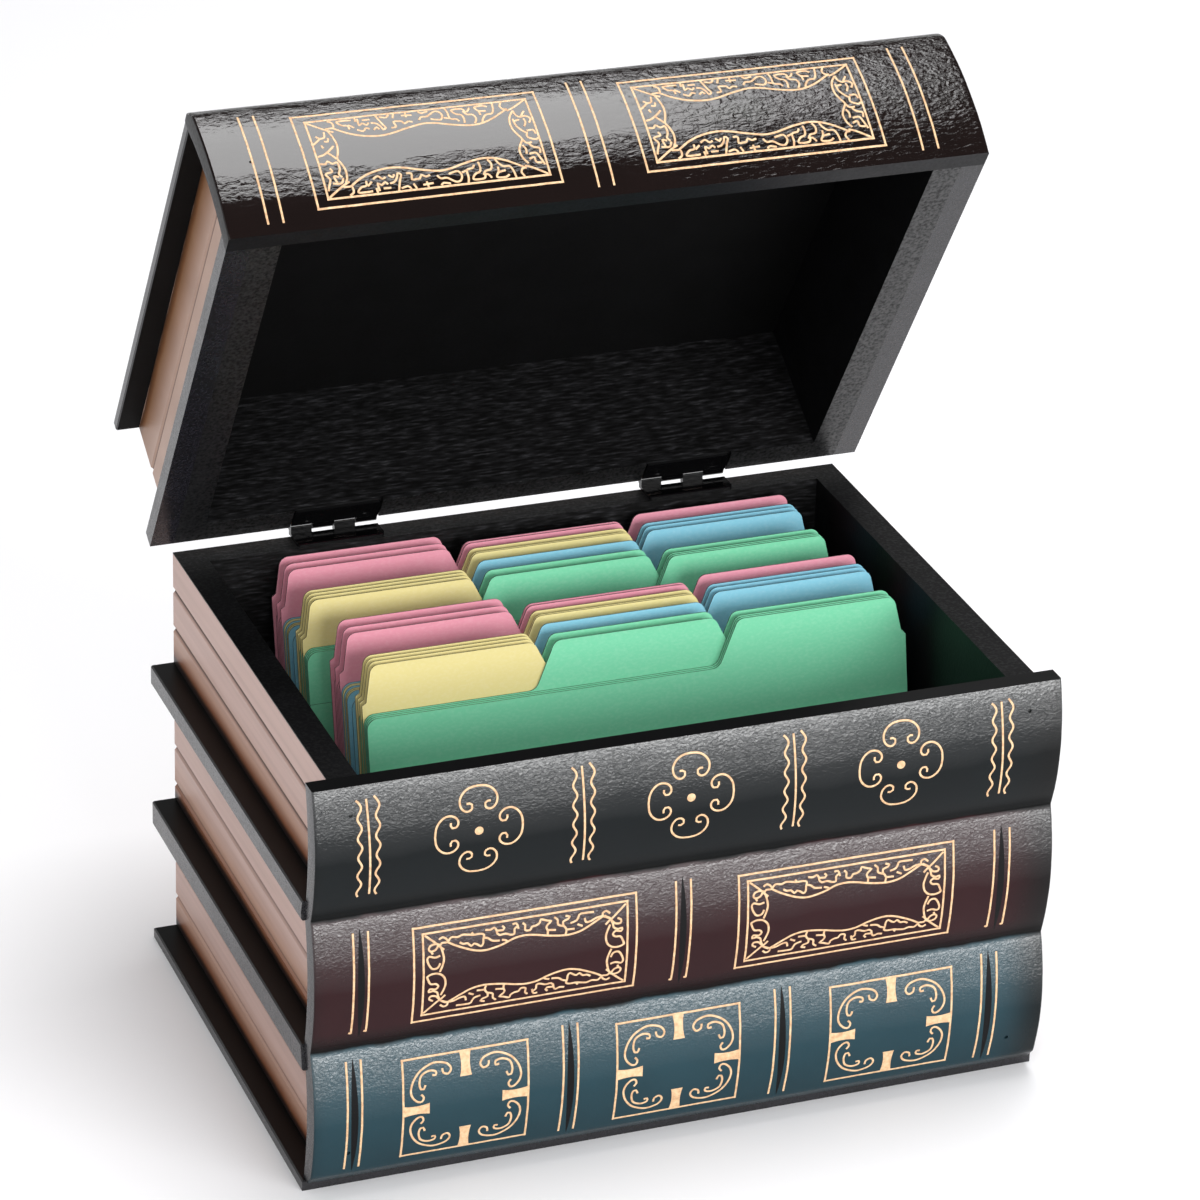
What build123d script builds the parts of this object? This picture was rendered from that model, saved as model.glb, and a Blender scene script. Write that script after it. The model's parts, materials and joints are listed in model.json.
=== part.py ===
import os
from math import cos, radians, sin

from build123d import *

os.makedirs("parts", exist_ok=True)

# Card guides, which set the size of the box; all sizes in millimetres
card_width = 152.4
card_height = 103.4  # without the tab
card_thickness = 0.5
card_corner = 3.0  # rounding beside and between the tabs
tab_height = 12.7
tab_top_width = 45.0
tab_slant = 6.0  # a tab's inner sides lean in by this much over its height
tab_inset = 3.0  # top corner of an end tab from the card's edge
tab_step = 1.2  # notch in the card's edge where an end tab starts
tab_step_height = 0.8
tab_step_drop = 9.8  # that notch below the tab's top
tab_corner = 2.6
card_lean = 12.0  # degrees back from upright
floor_clearance = 0.3
plain_card_height = 89.5
plain_card_overhang = 1.2
plain_card_corner = 2.0
plain_card_gap = 0.3
rear_card_gap = 0.4  # between the last guide's tab and the back wall
rear_side_gap = 8.1  # between each set and the right page wall
front_side_gap = 4.8
set_distance = 40.7  # front set in front of the rear set

# How far each guide stands in front of the hindmost guide, by colour and tab place
guide_steps = {
    "pink_left": [0.0, 4.4, 8.0],
    "pink_right": [3.1],
    "pink_centre": [5.6, 6.8],
    "blue_right": [9.2, 11.3, 13.9],
    "yellow_centre": [10.1, 12.4, 13.1],
    "blue_centre": [18.0],
    "yellow_left": [21.4, 23.2, 25.1, 27.1],
    "green_centre": [24.0, 27.9],
    "green_right": [26.1, 28.8, 29.7, 30.6],
}

# Boards
side_room = 24.6  # inner width of the box that the cards leave free
card_drop = 1.6  # tab tops below the rim
box_depth = 134.5  # from the back face to the fronts of the page walls
wall = 8.0  # page walls
back_wall = 8.0
cover_thickness = 3.0  # bottom board and top board
cover_overhang = 6.5  # covers and strips past the page walls
spine_inset = 1.0  # covers past the ends of the box's spine board
base_lip = 1.8  # bottom board under the spine board
board_edge = 0.4  # small bevel on the boards' outer edges
lowest_pages = 32.9  # height of the pages between the covers, from the table up
lower_strip_thickness = 7.2
middle_pages = 36.3
upper_strip_thickness = 5.8
rim_strip_thickness = 4.6
lid_height = 41.1  # lid from its rim to the top board's outer face

# Spine boards: thickness where two books meet, and how far each book swells forward
joint_thickness = 5.3
rim_thickness = 5.6
front_swell = 3.2
back_swell = 2.5
lower_joint_rise = 6.6  # the joints above the undersides of the cover strips
upper_joint_rise = 1.8
foot_height = 3.0  # bevel at the foot
foot_thickness = 6.0  # board at the top of that bevel
foot_edge = 3.3  # board where it stands on the bottom board
spine_bevel = 0.5
lid_front_swell = 2.2
lid_shoulder_drop = 5.0  # where the lid's spine starts to round into the top
lid_shoulder_thickness = 6.6
lid_shoulder_bulge = 0.6
lid_top_thickness = 3.2

# Grooves that stand for page edges
groove_width = 2.0
groove_depth = 0.8
groove_pitch = 11.5
top_groove_drop = 11.3  # first groove below the rim
middle_groove_drop = 8.7  # first groove below each cover strip
lowest_groove_drop = 12.3
lid_groove_rises = [12.5, 24.0]  # above the lid's rim

# Butt hinges
lid_open_angle = 58.0  # the lid as it stands at rest, from shut
closed_gap = 1.3  # between the two rims when the lid is shut
hinge_setout = 1.2  # pin axis behind the back face
hinge_rise = 2.6  # pin axis above the box's rim
hinge_inset = 37.5  # middle of each hinge from the inside of the page wall
hinge_length = 24.8
leaf_width = 7.0  # leaf in front of the back face
leaf_thickness = 0.9
leaf_corner = 0.8
barrel_radius = 1.5
pin_radius = 0.7
pin_fit = 0.05
knuckle_count = 4
knuckle_gap = 0.3
leaf_clearance = 0.4  # round the other leaf's knuckles
mortise_clearance = 0.3
curl_back = 0.4  # the box leaf's curl behind the pin axis

# Screws and brads
screw_offset = 8.2  # each screw from the hinge's middle
screw_setback = 4.0  # screws in front of the back face
screw_head_radius = 1.7
screw_radius = 0.9
screw_length = 7.0
screw_fit = 0.05
slot_width = 0.45
slot_depth = 0.35
slot_length = 2.4
brad_radius = 0.8
brad_fit = 0.05
brad_depth = 10.0  # brads in the page walls, behind the walls' fronts
box_brad_front = 7.0  # sunk end of a brad in front of the page walls
lid_brad_front = 7.6
top_brad_drop = 7.0  # below the rim
foot_brad_rise = 10.0  # above the bottom board
lid_brad_rise = 20.5  # above the lid's rim

# Places worked out from the sizes
open_cos = cos(radians(lid_open_angle))
open_sin = sin(radians(lid_open_angle))
lean_cos = cos(radians(card_lean))
lean_sin = sin(radians(card_lean))
inner_width = card_width + side_room
inner_x = inner_width / 2
outer_x = inner_x + wall
cover_x = outer_x + cover_overhang
hinge_centre = inner_x - hinge_inset
spine_length = 2 * (cover_x - spine_inset)
card_floor = cover_thickness + floor_clearance
rim_height = card_floor + (card_height + tab_height) * lean_cos + card_drop
lower_strip_bottom = cover_thickness + lowest_pages
upper_strip_bottom = lower_strip_bottom + lower_strip_thickness + middle_pages
lower_joint = lower_strip_bottom + lower_joint_rise
upper_joint = upper_strip_bottom + upper_joint_rise
base_depth = box_depth + base_lip
back_face = base_depth / 2
spine_back = back_face - box_depth
inner_back = back_face - back_wall
wall_front = spine_back - 2 * back_swell  # page walls before they are cut to the spine's back
spine_reach = rim_thickness + 2 * front_swell  # in front of the page walls, clear of the spines
hinge_y = back_face + hinge_setout
hinge_z = rim_height + hinge_rise
mortise_length = hinge_length + 2 * mortise_clearance

# Depths and heights on the lid, measured from the pin axis
lid_rim = closed_gap - hinge_rise
lid_top = lid_rim + lid_height
top_underside = lid_top - cover_thickness
lid_back_face = -hinge_setout
lid_spine_back = lid_back_face - box_depth
lid_wall_front = lid_spine_back - 2 * back_swell
screw_line = lid_back_face - screw_setback

box_groove_heights = [
    rim_height - top_groove_drop,
    rim_height - top_groove_drop - groove_pitch,
    upper_strip_bottom - middle_groove_drop,
    upper_strip_bottom - middle_groove_drop - groove_pitch,
    upper_strip_bottom - middle_groove_drop - 2 * groove_pitch,
    lower_strip_bottom - lowest_groove_drop,
    lower_strip_bottom - lowest_groove_drop - groove_pitch,
]
lid_groove_heights = [lid_rim + rise for rise in lid_groove_rises]
box_brad_heights = [rim_height - top_brad_drop, cover_thickness + foot_brad_rise]
lid_brad_heights = [lid_rim + lid_brad_rise]


def box_side(x):
    # depth and height of the box, seen from its right end
    return Plane(origin=(x, 0, 0), x_dir=(0, 1, 0), z_dir=(1, 0, 0))


def pin_side(x):
    # the same, measured from the pin axis
    return Plane(origin=(x, hinge_y, hinge_z), x_dir=(0, 1, 0), z_dir=(1, 0, 0))


def lid_side(x):
    # depth and height from the pin axis, turned with the open lid
    return Plane(origin=(x, hinge_y, hinge_z), x_dir=(0, open_cos, -open_sin), z_dir=(1, 0, 0))


def lid_level(height):
    # length and depth from the pin axis, at a height on the lid
    origin = (0, hinge_y + height * open_sin, hinge_z + height * open_cos)
    return Plane(origin=origin, x_dir=(1, 0, 0), z_dir=(0, open_sin, open_cos))


def lid_front(depth):
    # length and height from the pin axis, at a depth on the lid, facing its front
    origin = (0, hinge_y + depth * open_cos, hinge_z - depth * open_sin)
    return Plane(origin=origin, x_dir=(1, 0, 0), z_dir=(0, -open_cos, open_sin))


def swell(start, end, bulge):
    # one book's round, drawn between two points of depth and height
    middle = ((start[0] + end[0]) / 2 - bulge, (start[1] + end[1]) / 2)
    return ThreePointArc(start, middle, end)


def box_spine_rounds():
    # back of the box's spine board, from the rim down
    swell((spine_back, rim_height), (spine_back, upper_joint), back_swell)
    swell((spine_back, upper_joint), (spine_back, lower_joint), back_swell)
    swell((spine_back, lower_joint), (spine_back, cover_thickness), back_swell)


def lid_spine_round():
    swell((lid_spine_back, top_underside), (lid_spine_back, lid_rim), back_swell)


def box_between(left, right, bottom, top):
    # rectangle between two depths and two heights
    with Locations(((left + right) / 2, (bottom + top) / 2)):
        Rectangle(right - left, top - bottom)


def side_groove(x, height, inward):
    # a V cut into a page wall's outer face; inward is the sign of the cut's direction
    half = groove_width / 2
    Polygon((x, height - half), (x + inward * groove_depth, height), (x, height + half), align=None)


def back_groove(depth, height):
    half = groove_width / 2
    Polygon((depth, height - half), (depth - groove_depth, height), (depth, height + half), align=None)


def brad_spots(heights):
    # one brad at each side, in the middle of the page wall's front end
    middle = inner_x + wall / 2
    return [(side * middle, height) for side in (-1, 1) for height in heights]


def screw_spots(depth):
    steps = (-screw_offset, screw_offset)
    return [(side * hinge_centre + step, depth) for side in (-1, 1) for step in steps]


# Depth and height of the space that belongs to each spine board and what is in front of it
foot_corner = (spine_back, cover_thickness)
rim_corner = (spine_back, rim_height)
far_front = spine_back - base_depth
with BuildSketch() as box_front_space:
    with BuildLine():
        box_spine_rounds()
        Polyline(foot_corner, (far_front, cover_thickness), (far_front, rim_height), rim_corner)
    make_face()

lid_rim_corner = (lid_spine_back, lid_rim)
lid_top_corner = (lid_spine_back, top_underside)
lid_far_front = lid_spine_back - base_depth
with BuildSketch() as lid_front_space:
    with BuildLine():
        lid_spine_round()
        Polyline(lid_rim_corner, (lid_far_front, lid_rim), (lid_far_front, top_underside), lid_top_corner)
    make_face()

# Bottom board
with BuildPart() as base_board:
    with BuildSketch(Plane.XY):
        Rectangle(2 * cover_x, base_depth)
    extrude(amount=cover_thickness)
    chamfer(base_board.faces().sort_by(Axis.Z)[-1].edges(), length=board_edge)
base_board.part.label = "base_board"
export_step(base_board.part, "parts/base_board.step")

# Page walls of the box, left and right
for side_name, side in (("left", -1), ("right", 1)):
    with BuildPart() as page_wall:
        with BuildSketch(box_side(min(side * inner_x, side * outer_x))):
            box_between(wall_front, back_face, cover_thickness, rim_height)
            add(box_front_space.sketch, mode=Mode.SUBTRACT)
        extrude(amount=wall)
        with BuildSketch(Plane.XZ.offset(-back_face)):
            for height in box_groove_heights:
                side_groove(side * outer_x, height, -side)
        extrude(amount=base_depth, mode=Mode.SUBTRACT)
        with BuildSketch(Plane.XZ.offset(spine_reach - spine_back)):
            with Locations(*brad_spots(box_brad_heights)):
                Circle(brad_radius + brad_fit)
        extrude(amount=-(spine_reach + brad_depth + brad_fit), mode=Mode.SUBTRACT)
    page_wall.part.label = side_name + "_page_wall"
    export_step(page_wall.part, "parts/" + page_wall.part.label + ".step")

# Back wall of the box, with pilot holes for the hinge screws
with BuildPart() as back_page_wall:
    with BuildSketch(Plane.XY.offset(cover_thickness)):
        with Locations((0, back_face - back_wall / 2)):
            Rectangle(inner_width, back_wall)
    extrude(amount=rim_height - cover_thickness)
    with BuildSketch(box_side(-inner_x)):
        for height in box_groove_heights:
            back_groove(back_face, height)
    extrude(amount=inner_width, mode=Mode.SUBTRACT)
    with BuildSketch(Plane.XY.offset(rim_height)):
        with Locations(*screw_spots(back_face - screw_setback)):
            Circle(screw_radius + screw_fit)
    extrude(amount=-(screw_length + screw_fit), mode=Mode.SUBTRACT)
back_page_wall.part.label = "back_page_wall"
export_step(back_page_wall.part, "parts/back_page_wall.step")

# Spine board of the box: three books in one board, which is also the front wall
foot = (spine_back - foot_edge, cover_thickness)
foot_top = (spine_back - foot_thickness, cover_thickness + foot_height)
lower_front = (spine_back - joint_thickness, lower_joint)
upper_front = (spine_back - joint_thickness, upper_joint)
rim_front = (spine_back - rim_thickness, rim_height)
with BuildPart() as box_spine_board:
    with BuildSketch(box_side(-spine_length / 2)):
        with BuildLine():
            box_spine_rounds()
            Polyline(foot_corner, foot, foot_top)
            swell(foot_top, lower_front, front_swell)
            swell(lower_front, upper_front, front_swell)
            swell(upper_front, rim_front, front_swell)
            Line(rim_front, rim_corner)
        make_face()
    extrude(amount=spine_length)
    end_edges = box_spine_board.faces().filter_by(Axis.X).edges()
    front_edges = end_edges.filter_by(lambda edge: edge.center().Y < spine_back - joint_thickness)
    chamfer(front_edges, length=spine_bevel)
    with BuildSketch(Plane.XZ.offset(spine_reach - spine_back)):
        with Locations(*brad_spots(box_brad_heights)):
            Circle(brad_radius + brad_fit)
    extrude(amount=-spine_reach, mode=Mode.SUBTRACT)
box_spine_board.part.label = "box_spine_board"
export_step(box_spine_board.part, "parts/box_spine_board.step")

# Cover strips between the books
strip_levels = {
    "upper": (upper_strip_bottom, upper_strip_thickness),
    "lower": (lower_strip_bottom, lower_strip_thickness),
}
for side_name, side in (("left", -1), ("right", 1)):
    for level_name, (bottom, thickness) in strip_levels.items():
        with BuildPart() as strip:
            with BuildSketch(box_side(min(side * outer_x, side * cover_x))):
                box_between(wall_front, back_face, bottom, bottom + thickness)
                add(box_front_space.sketch, mode=Mode.SUBTRACT)
            extrude(amount=cover_overhang)
            outer_face = strip.faces().sort_by(Axis.X)[0 if side < 0 else -1]
            chamfer(outer_face.edges().filter_by(Axis.Y), length=board_edge)
        strip.part.label = side_name + "_" + level_name + "_cover_strip"
        export_step(strip.part, "parts/" + strip.part.label + ".step")

# Top board of the lid
with BuildPart() as lid_top_board:
    with BuildSketch(lid_level(top_underside)):
        with Locations((0, (lid_back_face + lid_spine_back) / 2)):
            Rectangle(2 * cover_x, box_depth)
    extrude(amount=cover_thickness)
    end_faces = lid_top_board.faces().filter_by(Axis.X)
    chamfer(end_faces.edges().filter_by(lambda edge: edge.length > box_depth / 2), length=board_edge)
lid_top_board.part.label = "lid_top_board"
export_step(lid_top_board.part, "parts/lid_top_board.step")

# Page walls and rim strips of the lid, left and right
for side_name, side in (("left", -1), ("right", 1)):
    with BuildPart() as lid_wall:
        with BuildSketch(lid_side(min(side * inner_x, side * outer_x))):
            box_between(lid_wall_front, lid_back_face, lid_rim, top_underside)
            add(lid_front_space.sketch, mode=Mode.SUBTRACT)
        extrude(amount=wall)
        with BuildSketch(lid_front(lid_back_face)):
            for height in lid_groove_heights:
                side_groove(side * outer_x, height, -side)
        extrude(amount=base_depth, mode=Mode.SUBTRACT)
        with BuildSketch(lid_front(lid_spine_back - spine_reach)):
            with Locations(*brad_spots(lid_brad_heights)):
                Circle(brad_radius + brad_fit)
        extrude(amount=-(spine_reach + brad_depth + brad_fit), mode=Mode.SUBTRACT)
    lid_wall.part.label = "lid_" + side_name + "_page_wall"
    export_step(lid_wall.part, "parts/" + lid_wall.part.label + ".step")

    with BuildPart() as rim_strip:
        with BuildSketch(lid_side(min(side * outer_x, side * cover_x))):
            box_between(lid_wall_front, lid_back_face, lid_rim, lid_rim + rim_strip_thickness)
            add(lid_front_space.sketch, mode=Mode.SUBTRACT)
        extrude(amount=cover_overhang)
    rim_strip.part.label = "lid_" + side_name + "_rim_strip"
    export_step(rim_strip.part, "parts/" + rim_strip.part.label + ".step")

# Back wall of the lid, mortised for the hinge leaves and eased for their barrels
with BuildPart() as lid_back_page_wall:
    with BuildSketch(lid_level(lid_rim)):
        with Locations((0, lid_back_face - back_wall / 2)):
            Rectangle(inner_width, back_wall)
    extrude(amount=top_underside - lid_rim)
    with BuildSketch(lid_side(-inner_x)):
        for height in lid_groove_heights:
            back_groove(lid_back_face, height)
    extrude(amount=inner_width, mode=Mode.SUBTRACT)
    for side in (-1, 1):
        with BuildSketch(lid_side(side * hinge_centre - mortise_length / 2)):
            box_between(lid_back_face - back_wall, lid_back_face, lid_rim, lid_rim + leaf_thickness)
            Circle(barrel_radius + leaf_clearance)
        extrude(amount=mortise_length, mode=Mode.SUBTRACT)
    with BuildSketch(lid_level(lid_rim)):
        with Locations(*screw_spots(screw_line)):
            Circle(screw_radius + screw_fit)
    extrude(amount=screw_length + screw_fit, mode=Mode.SUBTRACT)
lid_back_page_wall.part.label = "lid_back_page_wall"
export_step(lid_back_page_wall.part, "parts/lid_back_page_wall.step")

# Spine board of the lid, rounded into the top board
lid_rim_front = (lid_spine_back - joint_thickness, lid_rim)
shoulder = (lid_spine_back - lid_shoulder_thickness, lid_top - lid_shoulder_drop)
top_front = (lid_spine_back - lid_top_thickness, lid_top)
shoulder_middle = (
    (shoulder[0] + top_front[0]) / 2 - lid_shoulder_bulge,
    (shoulder[1] + top_front[1]) / 2 + lid_shoulder_bulge,
)
with BuildPart() as lid_spine_board:
    with BuildSketch(lid_side(-cover_x)):
        with BuildLine():
            lid_spine_round()
            Line(lid_rim_corner, lid_rim_front)
            swell(lid_rim_front, shoulder, lid_front_swell)
            ThreePointArc(shoulder, shoulder_middle, top_front)
            Polyline(top_front, (lid_spine_back, lid_top), lid_top_corner)
        make_face()
    extrude(amount=2 * cover_x)
    with BuildSketch(lid_front(lid_spine_back - spine_reach)):
        with Locations(*brad_spots(lid_brad_heights)):
            Circle(brad_radius + brad_fit)
    extrude(amount=-spine_reach, mode=Mode.SUBTRACT)
lid_spine_board.part.label = "lid_spine_board"
export_step(lid_spine_board.part, "parts/lid_spine_board.step")


def knuckle_spans(centre, first):
    # start and length of every second knuckle, with half a gap at each end
    pitch = hinge_length / knuckle_count
    start = centre - hinge_length / 2 + knuckle_gap / 2
    return [(start + index * pitch, pitch - knuckle_gap) for index in range(first, knuckle_count, 2)]


def screw_section(depth, face, inward, fit):
    # half section of a countersunk screw; inward is the sign of its direction
    head = depth + screw_head_radius + fit
    shank = depth + screw_radius + fit
    neck = face + inward * leaf_thickness
    tip = face + inward * (screw_length + fit)
    Polygon((depth, face), (head, face), (shank, neck), (shank, tip), (depth, tip), align=None)


def screw_face(underside, inward):
    # the face of a leaf that its screws' heads are flush with
    return underside if inward > 0 else underside + leaf_thickness


def screw_axis(section, depth):
    return Axis(section.from_local_coords((depth, 0)), section.y_dir)


def hinge_leaf(label, centre, side_at, underside, inward, first, curl_top, curl_end):
    # flat leaf with every second knuckle; inward is the sign of its screws' direction
    plate_front = lid_back_face - leaf_width
    plate_back = -(barrel_radius + leaf_clearance)
    with BuildPart() as leaf:
        with BuildSketch(side_at(centre - hinge_length / 2)):
            box_between(plate_front, plate_back, underside, underside + leaf_thickness)
        extrude(amount=hinge_length)
        front_face = leaf.faces().sort_by(Axis((0, 0, 0), side_at(0).x_dir))[0]
        upright_edges = front_face.edges().filter_by(lambda edge: edge.length < 2 * leaf_thickness)
        fillet(upright_edges, radius=leaf_corner)
        for start, length in knuckle_spans(centre, first):
            with BuildSketch(side_at(start)):
                Circle(barrel_radius)
                box_between(plate_back, curl_end, underside, underside + leaf_thickness)
                box_between(-barrel_radius, curl_end, underside, curl_top)
                Circle(pin_radius + pin_fit, mode=Mode.SUBTRACT)
            extrude(amount=length)
        for step in (-screw_offset, screw_offset):
            section = side_at(centre + step)
            with BuildSketch(section):
                screw_section(screw_line, screw_face(underside, inward), inward, screw_fit)
            revolve(axis=screw_axis(section, screw_line), mode=Mode.SUBTRACT)
    leaf.part.label = label
    export_step(leaf.part, "parts/" + label + ".step")


def hinge_screws(label, side_at, underside, inward):
    # four countersunk screws with crossed slots
    face = screw_face(underside, inward)
    slot_floor = face + inward * slot_depth
    with BuildPart() as screws:
        for x, depth in screw_spots(screw_line):
            section = side_at(x)
            with BuildSketch(section):
                screw_section(depth, face, inward, 0)
            revolve(axis=screw_axis(section, depth))
            for across, along in ((slot_width, slot_length), (slot_length, slot_width)):
                with BuildSketch(side_at(x - along / 2)):
                    slot_ends = (depth - across / 2, depth + across / 2)
                    box_between(*slot_ends, min(face, slot_floor), max(face, slot_floor))
                extrude(amount=along, mode=Mode.SUBTRACT)
    screws.part.label = label
    export_step(screws.part, "parts/" + label + ".step")


# Hinges: the box's leaf lies on the rim, the lid's leaf is let into a mortise
for side_name, centre in (("left", -hinge_centre), ("right", hinge_centre)):
    hinge_leaf(side_name + "_hinge_box_leaf", centre, pin_side, -hinge_rise, -1, 0, 0, curl_back)
    hinge_leaf(side_name + "_hinge_lid_leaf", centre, lid_side, lid_rim, 1, 1, lid_rim + leaf_thickness, 0)
    with BuildPart() as hinge_pin:
        with BuildSketch(pin_side(centre - hinge_length / 2 + knuckle_gap / 2)):
            Circle(pin_radius)
        extrude(amount=hinge_length - knuckle_gap)
    hinge_pin.part.label = side_name + "_hinge_pin"
    export_step(hinge_pin.part, "parts/" + hinge_pin.part.label + ".step")

hinge_screws("box_hinge_screws", pin_side, -hinge_rise, -1)
hinge_screws("lid_hinge_screws", lid_side, lid_rim, 1)

# Brads that hold the spine boards to the page walls
with BuildPart() as box_spine_brads:
    with BuildSketch(Plane.XZ.offset(box_brad_front - spine_back)):
        with Locations(*brad_spots(box_brad_heights)):
            Circle(brad_radius)
    extrude(amount=-(box_brad_front + brad_depth))
box_spine_brads.part.label = "box_spine_brads"
export_step(box_spine_brads.part, "parts/box_spine_brads.step")

with BuildPart() as lid_spine_brads:
    with BuildSketch(lid_front(lid_spine_back - lid_brad_front)):
        with Locations(*brad_spots(lid_brad_heights)):
            Circle(brad_radius)
    extrude(amount=-(lid_brad_front + brad_depth))
lid_spine_brads.part.label = "lid_spine_brads"
export_step(lid_spine_brads.part, "parts/lid_spine_brads.step")


def card_plane(centre, ahead):
    # back face of a leaning card; ahead is its distance in front of the hindmost guide
    foot = inner_back - rear_card_gap - (card_height + tab_height) * lean_sin - ahead
    return Plane(origin=(centre, foot, card_floor), x_dir=(1, 0, 0), z_dir=(0, -lean_cos, lean_sin))


def guide_corners(place):
    # outline of a guide with its tab at the left, centre or right
    half = card_width / 2
    top = card_height + tab_height
    outer = half - tab_inset
    inner = outer - tab_top_width
    half_tab = tab_top_width / 2
    notch = top - tab_step_drop
    slope = [(inner, top), (inner - tab_slant, card_height)]
    shoulder_corner = (half, card_height)
    end_tab = [(half, notch - tab_step_height), (half - tab_step, notch), (outer, top)] + slope
    middle_slope = [(half_tab, top), (half_tab + tab_slant, card_height)]
    halves = {"end": end_tab, "plain": [shoulder_corner], "middle": [shoulder_corner] + middle_slope[::-1]}
    kinds = {"left": ("end", "plain"), "centre": ("middle", "middle"), "right": ("plain", "end")}
    left_kind, right_kind = kinds[place]
    left_side = [(-across, up) for across, up in halves[left_kind]]
    return [(-half, 0), (half, 0)] + halves[right_kind] + left_side[::-1]


def guide_group(label, centre, place, steps):
    # guides of one colour and tab place, one solid each
    with BuildPart() as guides:
        for ahead in steps:
            with BuildSketch(card_plane(centre, ahead)) as outline:
                Polygon(*guide_corners(place), align=None)
                fillet(outline.vertices().group_by(Axis.Y)[1], radius=card_corner)
                fillet(outline.vertices().group_by(Axis.Y)[-1], radius=tab_corner)
            extrude(amount=card_thickness)
    guides.part.label = label
    export_step(guides.part, "parts/" + label + ".step")


def plain_card(label, centre, ahead):
    # untabbed card in front of the guides, a little wider at the left
    half = card_width / 2
    left = -half - plain_card_overhang
    top = plain_card_height
    top_corners = [(half, top), (-half, top), (left, top - plain_card_corner)]
    with BuildPart() as card:
        with BuildSketch(card_plane(centre, ahead)):
            Polygon((left, 0), (half, 0), *top_corners, align=None)
        extrude(amount=card_thickness)
    card.part.label = label
    export_step(card.part, "parts/" + label + ".step")


# The two sets of guides, the rear one against the back wall
last_step = max(max(steps) for steps in guide_steps.values())
plain_step = last_step + (card_thickness + plain_card_gap) / lean_cos
for set_name, side_gap, distance in (("rear", rear_side_gap, 0), ("front", front_side_gap, set_distance)):
    centre = inner_x - side_gap - card_width / 2
    for group, steps in guide_steps.items():
        place = group.split("_")[1]
        guide_group(set_name + "_" + group + "_guides", centre, place, [distance + step for step in steps])
    plain_card(set_name + "_green_plain_card", centre, distance + plain_step)
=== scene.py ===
import json
from math import cos, hypot, pi, radians, sin

import bmesh
import bpy
from mathutils import Matrix, Vector, noise
from mathutils.bvhtree import BVHTree


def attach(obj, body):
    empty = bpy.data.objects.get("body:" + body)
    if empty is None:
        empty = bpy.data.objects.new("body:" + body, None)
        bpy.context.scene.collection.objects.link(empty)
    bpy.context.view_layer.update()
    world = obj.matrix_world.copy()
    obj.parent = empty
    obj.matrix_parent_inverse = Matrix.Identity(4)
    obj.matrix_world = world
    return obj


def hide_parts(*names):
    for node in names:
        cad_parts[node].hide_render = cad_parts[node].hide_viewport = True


print("loading the packed frame")
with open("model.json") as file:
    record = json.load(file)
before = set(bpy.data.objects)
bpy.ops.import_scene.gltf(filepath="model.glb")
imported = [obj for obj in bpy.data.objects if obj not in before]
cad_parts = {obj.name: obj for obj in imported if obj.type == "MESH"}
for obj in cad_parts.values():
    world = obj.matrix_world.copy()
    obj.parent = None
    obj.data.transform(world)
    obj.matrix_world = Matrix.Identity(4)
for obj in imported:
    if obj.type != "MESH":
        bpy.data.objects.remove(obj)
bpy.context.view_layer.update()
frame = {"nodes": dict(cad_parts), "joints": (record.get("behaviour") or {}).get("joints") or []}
nodes = frame["nodes"]
scene = bpy.context.scene
mm = 0.001

# sizes that the looks share with the solids, in millimetres
stack = {
    "rim": 118.46,  # top of the open box
    "joints": (42.5, 81.2),  # where one book meets the next
    "coverTop": 3.0,
    "wallFront": -66.35,
    "wallBack": 66.9,
    "wallSide": 95.2,  # just inside the outer faces of the page walls
    "spineLength": 204.0,
    "coverLength": 206.0,
    "bradSide": 92.5,
}
lidPlace = {  # heights and depths from the pin axis, turned with the open lid
    "openAngle": radians(58),
    "rim": -1.3,
    "top": 39.8,
    "underTop": 36.8,
    "wallFront": -135.7,
    "wallBack": -2.4,
}
hinge = next(joint for joint in frame["joints"] if joint["name"] == "lid_hinge")
pinAxis = Vector(hinge["pos_m"])
lidUp = Vector((0, sin(lidPlace["openAngle"]), cos(lidPlace["openAngle"])))
lidBack = Vector((0, cos(lidPlace["openAngle"]), -sin(lidPlace["openAngle"])))
axisUp, axisBack = pinAxis.dot(lidUp), pinAxis.dot(lidBack)


def boxPoint(x, depth, height):
    return Vector((x, depth, height)) * mm


def lidPoint(x, depth, height):
    return pinAxis + Vector((x * mm, 0, 0)) + lidBack * depth * mm + lidUp * height * mm


def linear(hexColour):
    channels = [int(hexColour[start : start + 2], 16) / 255 for start in (1, 3, 5)]
    values = [c / 12.92 if c <= 0.04045 else ((c + 0.055) / 1.055) ** 2.4 for c in channels]
    return (*values, 1.0)


def feed(tree, node, inputs):
    # an input takes a value, a socket, or a node, which stands for its first live output
    for name, value in inputs.items():
        if isinstance(value, bpy.types.Node):
            value = next(socket for socket in value.outputs if socket.enabled)
        if isinstance(value, bpy.types.NodeSocket):
            tree.links.new(value, node.inputs[name])
        else:
            node.inputs[name].default_value = value


def addNode(tree, kind, inputs=None, **settings):
    node = tree.nodes.new(kind if "Node" in kind else "ShaderNode" + kind)
    for name, value in settings.items():
        setattr(node, name, value)
    feed(tree, node, inputs or {})
    return node


def startMaterial(name, **shaderValues):
    # where a value is linked later, this one is what an exported model falls back on
    material = bpy.data.materials.new(name)
    material.use_nodes = True
    tree = material.node_tree
    shader = tree.nodes["Principled BSDF"]
    feed(tree, shader, {socket.replace("_", " "): value for socket, value in shaderValues.items()})
    return material, tree, shader, addNode(tree, "TexCoord").outputs["Object"]


def patternScale(*sizes):
    # for features of the given size in millimetres, or of one size for each axis
    scales = [1 / (size * mm) for size in sizes]
    return scales if len(scales) > 1 else scales[0]


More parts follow.
